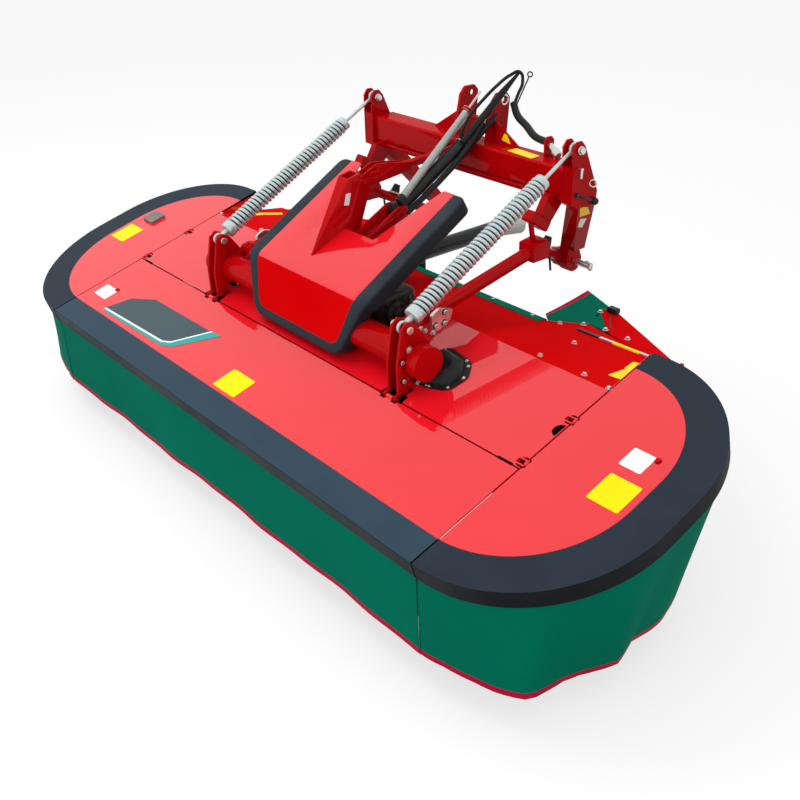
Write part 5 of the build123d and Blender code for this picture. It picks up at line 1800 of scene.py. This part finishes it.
    def stops(self) -> None:
        """Rings under the rubber stops, the arms' stop boxes and the red ring of the height gauge."""
        rings = []
        for _, sign in SIDES:
            knee = Vector((sign * self.arm_x, *self.knee))
            run = Vector((sign * self.arm_end, *self.lower_pin)) - knee
            upward = ACROSS.cross(run).normalized()
            seat = knee + run * self.stop_share + upward * self.stop_rise
            rings.append(rod(seat, seat + upward * self.stop_ring, 0.0268, 28))
        fit_all(rings, "stop_rings", BEIGE)
        for name, sign in SIDES:
            x = sign * self.arm_x
            tilt = (radians(self.block_tilt), 0, 0)
            block = box(datum.at(x, *self.block), self.block_size, 0.006, 2, tilt)
            link = rod(*((x, *end) for end in self.link), 0.010)
            fit_all([block, link], f"arm_stop_{name}", FRAME_RED)
        axis = (Vector(self.gauge_high) - Vector(self.gauge_low)).normalized()
        top = datum.at(*self.gauge_high)
        ring = round_bar(top - axis * 0.0148, top + axis * 0.0006, 0.0216, 28)
        fit(ring, "gauge_ring", FRAME_RED)

    def cone(self) -> None:
        """Pale cone of the shaft guard."""
        clear_selection()
        start, end = datum.all_at(self.cone_ends)
        bpy.ops.mesh.primitive_cone_add(
            vertices=40, radius1=0.0375, radius2=0.052, depth=(end - start).length, end_fill_type="NOTHING",
            location=(start + end) / 2, rotation=turn_to(end - start),
        )
        cone = bpy.context.object
        freeze()
        modify(cone, "SOLIDIFY", thickness=0.0025)
        smooth(cone, 40)
        fit(cone, "guard_cone", GREY_CONE)

    def build(self) -> None:
        """Builds the small pieces."""
        for step in (self.pins, self.gauge, self.plates, self.lever, self.hoses, self.stops, self.cone):
            step()


@dataclass
class Brackets:
    """Bolts, straps and rings on the two spring brackets and the lower arms' eyes."""

    outer_face: float = 0.605
    step: float = 0.003
    front_bolts: tuple = ((0.062, 0.166), (0.060, 0.098), (0.034, 0.060), (0.030, 0.130))
    rear_bolts: tuple = ((0.100, 0.030), (0.140, 0.118))
    cheek_bolts: tuple = ((0.272, 0.222), (0.228, 0.182), (0.268, 0.182))
    strap: tuple = ((0.052, 0.086), (0.072, 0.088), (0.073, 0.178), (0.053, 0.176))
    cheek: tuple = (
        (0.212, 0.176), (0.240, 0.158), (0.300, 0.186), (0.310, 0.222), (0.250, 0.240), (0.216, 0.224),
    )
    eye: tuple = (0.165, 0.190)
    eye_faces: tuple = ((0.540, 1), (0.460, -1))
    spring_x: float = 0.575
    spring_half: float = 0.038
    spring_pin: tuple = (0.060, 0.240)
    cheek_x: float = 0.541
    cheek_face: float = 0.549

    def build(self) -> None:
        """Builds the fittings of both brackets."""
        pieces, places = [], []
        for _, sign in SIDES:
            out = ACROSS * sign
            x = sign * self.outer_face
            for y, z in self.front_bolts:
                places.append((datum.at(x + sign * self.step * (y > 0.05), y, z), out))
            places += [(datum.at(x, y, z), out) for y, z in self.rear_bolts]
            places += [(datum.at(sign * face, *self.eye), out * way) for face, way in self.eye_faces]
            for shift in (-1, 1):
                head = datum.at(sign * self.spring_x + shift * self.spring_half, *self.spring_pin)
                pieces.append(round_bar(head, head + ACROSS * shift * 0.007, 0.0135))
            strap = datum.all_at((x, y, z) for y, z in self.strap)
            pieces.append(flat_plate(f"strap_{sign}", strap, out, 0.0035, ZINC, 0.005))
            cheek = datum.all_at((sign * self.cheek_x, y, z) for y, z in self.cheek)
            pieces.append(flat_plate(f"cheek_{sign}", cheek, out, 0.008, ZINC, 0.006))
            places += [(datum.at(sign * self.cheek_face, y, z), out) for y, z in self.cheek_bolts]
        heads = Bolt(0.0095, 0.007).row("bracket_bolts", places, ZINC)
        fit_all([heads, *pieces], "bracket_bolts", ZINC)


@dataclass
class RearFittings:
    """Slot bar, blank plates, clamp and bolts at the hood's ends and on the swath boards."""

    bar_width: float = 0.016
    bar_thickness: float = 0.006
    cheek_x: float = 1.173
    cheek_gap: float = 0.006
    cheek_end: float = 0.640
    line_half: float = 0.0022
    line_start: tuple = (0.747, 0.352)
    line_rise: float = 0.045
    ridge: tuple = (0.860, 1.120)
    ridge_shift: float = -0.017
    clamp: tuple = (0.716, 0.992, 0.063)
    clamp_size: tuple = (0.046, 0.030, 0.022)
    board_top: float = 0.0521
    sections: tuple = (
        (0.745, 0.846, RUBBER, "black_rubber"), (0.846, 0.907, ZINC, "zinc_steel"),
        (0.907, 1.024, YELLOW_PLATE, "frame_red"), (1.024, 1.072, ZINC, "zinc_steel"),
    )
    plates: tuple = (
        ("hood_plate_a", ((1.092, 0.102), (1.145, 0.110), (1.124, 0.185), (1.088, 0.192))),
        ("hood_plate_b", ((1.082, 0.200), (1.060, 0.278), (1.088, 0.292), (1.127, 0.176))),
    )
    crease: tuple = ((0.722, 0.965), (0.800, 0.872))

    def strip(
        self, name: str, ends: tuple, sign: int, shift: float, lift: float, finish: Finish
    ) -> bpy.types.Object:
        """One length of the bar along the hood, or the ridge in front of it.

        Args:
            name: Its name.
            ends: Where it begins and ends across the machine.
            sign: Which side of the machine.
            shift: How far it lies behind the bar's own line.
            lift: Its thickness.
            finish: Its finish.

        Returns:
            The strip.
        """
        half = self.line_half if shift else self.bar_width / 2
        first, height = self.line_start
        line = [(x, height + (x - first) * self.line_rise + shift) for x in ends]
        outline = [(x, v - half) for x, v in line] + [(x, v + half) for x, v in reversed(line)]
        return flat_plate(name, datum.all_hood(outline, sign), datum.hood_normal, lift, finish)

    def side(self, name: str, sign: int) -> None:
        """Builds the fittings on one side."""
        for number, (start, end, finish, slot) in enumerate(self.sections, 1):
            label = f"slot_bar_{number}_{name}"
            carry(self.strip(label, (start, end), sign, 0.0, self.bar_thickness, finish))
        ridge = self.strip(f"hood_ridge_{name}", self.ridge, sign, self.ridge_shift, 0.003, DECK_RED)
        carry(ridge)
        for label, outline in self.plates:
            corners = datum.all_hood(outline, sign)
            plate = flat_plate(f"{label}_{name}", corners, datum.hood_normal, 0.001, YELLOW_PLATE, 0.004)
            carry(plate)
        x, y, z = self.clamp
        clamp = box(datum.at(sign * x, y, z), self.clamp_size, 0.005, 2)
        fit(clamp, f"board_clamp_{name}", RUBBER)
        cheek = [datum.deck(sign * self.cheek_x, v, -self.cheek_gap) for v in (0.430, self.cheek_end)]
        reach = (self.cheek_end - datum.crease_v) * datum.slope.y / datum.hood_slope.y
        cheek += [datum.hood(sign * self.cheek_x, v, -0.002) for v in (reach, 0.010)]
        carry(flat_plate(f"hood_cheek_{name}", cheek, ACROSS * -sign, 0.0016, COVER_RED))
        # Thin black strip along the swath board's crease: painted shade in the crease.
        start, end = (Vector(point) for point in self.crease)
        along = (end - start).normalized() * self.line_half
        offset = Vector((-along.y, along.x))
        outline = (start + offset, end + offset, end - offset, start - offset)
        crease = [datum.at(sign * spot.x, spot.y, self.board_top) for spot in outline]
        carry(flat_plate(f"board_crease_{name}", crease, UP, 0.0015, BLACK_PAINT))

    def build(self) -> None:
        """Builds the fittings on both sides."""
        for name, sign in SIDES:
            self.side(name, sign)


@dataclass
class Studio:
    """Pale floor, white surroundings, soft lights and the camera."""

    camera_place: tuple = (2.929, -2.242, 2.254)
    azimuth: float = 47.06
    elevation: float = 28.03
    lens: float = 45.62
    shift: tuple = (-0.0788, -0.0246)
    floor_size: float = 60.0
    sky: float = 1.05
    horizon: float = 0.22
    floor_bounce: float = 0.22
    floor_tone: float = 0.96
    floor_white: float = 0.66
    lamps: tuple = (
        ("key", (-2.5, -1.5, 5.5), (0, 0, 0.5), (3.5, 2.5), 120.0),
        ("front", (0.6, -5.0, 1.6), (0, 0, 0.3), (4.0, 1.6), 75.0),
        ("right", (5.0, -0.4, 1.3), (1.2, 0, 0.3), (2.4, 1.4), 34.0),
    )

    def seen_directly(self, graph: Graph) -> bpy.types.NodeSocket:
        """Mask of the rays from the camera, from mirrors and through glass."""
        rays = graph.add("LightPath").outputs
        seen = rays["Is Camera Ray"]
        for kind in ("Is Glossy Ray", "Is Transmission Ray"):
            seen = graph.add("Math", {0: seen, 1: rays[kind]}, operation="MAXIMUM").outputs[0]
        return seen

    def surroundings(self) -> None:
        """White world that lights the object at a plain level."""
        world = bpy.data.worlds.new("studio")
        bpy.context.scene.world = world
        world.use_nodes = True
        graph = Graph(world.node_tree)
        heading = graph.add("SeparateXYZ", {0: graph.add("TexCoord").outputs["Generated"]})
        levels = {0: heading.outputs[2], 1: -0.1, 2: 0.9, 3: self.horizon, 4: self.sky}
        overhead = graph.add("MapRange", levels)
        dim = graph.add("Background", {"Color": WHITE, "Strength": overhead.outputs[0]})
        plain = graph.add("Background", {"Color": WHITE, "Strength": 1.0})
        mix = graph.add("MixShader", {0: self.seen_directly(graph), 1: dim.outputs[0], 2: plain.outputs[0]})
        graph.add("OutputWorld", {0: mix.outputs[0]})

    def floor(self) -> None:
        """Pale floor that keeps the object's shadow."""
        clear_selection()
        bpy.ops.mesh.primitive_plane_add(size=self.floor_size)
        floor = bpy.context.object
        floor.name = "floor"
        made = bpy.data.materials.new("pale floor")
        made.use_nodes = True
        graph = Graph(made.node_tree)
        seen = self.seen_directly(graph)
        tone = graph.blend(seen, (self.floor_bounce,) * 3, (self.floor_tone,) * 3)
        matt = graph.add("BsdfDiffuse", {"Color": tone})
        plain = graph.add("Emission", {"Color": WHITE, "Strength": 1.0})
        share = graph.scale(seen, 0.0, self.floor_white)
        mix = graph.add("MixShader", {0: share, 1: matt.outputs[0], 2: plain.outputs[0]})
        graph.add("OutputMaterial", {0: mix.outputs[0]})
        floor.data.materials.append(made)

    def lamp(self, name: str, place: tuple, aim: tuple, size: tuple, power: float) -> None:
        """Soft rectangular lamp.

        Args:
            name: Its name.
            place: Where it hangs.
            aim: What it looks at.
            size: Its width and height.
            power: Watts.
        """
        data = bpy.data.lights.new(name, "AREA")
        data.shape = "RECTANGLE"
        data.size, data.size_y = size
        data.energy = power
        lamp = bpy.data.objects.new(name, data)
        bpy.context.scene.collection.objects.link(lamp)
        lamp.location = place
        lamp.rotation_euler = (Vector(aim) - Vector(place)).to_track_quat("-Z", "Y").to_euler()
        lamp.visible_glossy = False

    def build(self) -> None:
        """Sets the stage."""
        self.surroundings()
        self.floor()
        for lamp in self.lamps:
            self.lamp(*lamp)
        data = bpy.data.cameras.new("camera")
        data.lens = self.lens
        data.sensor_width = 36.0
        data.shift_x, data.shift_y = self.shift
        camera = bpy.data.objects.new("camera", data)
        bpy.context.scene.collection.objects.link(camera)
        camera.location = self.camera_place
        camera.rotation_euler = (radians(90 - self.elevation), 0, radians(self.azimuth))
        bpy.context.scene.camera = camera
        bpy.context.scene.view_settings.view_transform = "Standard"


def main() -> None:
    """Builds the mower's looks in order."""
    logging.basicConfig(level=logging.INFO, format="%(message)s")
    dress_nodes()
    assemblies = (
        Curtains(), Drapes(), Springs(), Cowl(), Mast(), Drive(), Hitch(), Brackets(), BarEnds(), Boots(),
        RearFittings(), CoverFittings(), Studio(),
    )
    for assembly in assemblies:
        assembly.build()


if __name__ == "__main__":
    main()
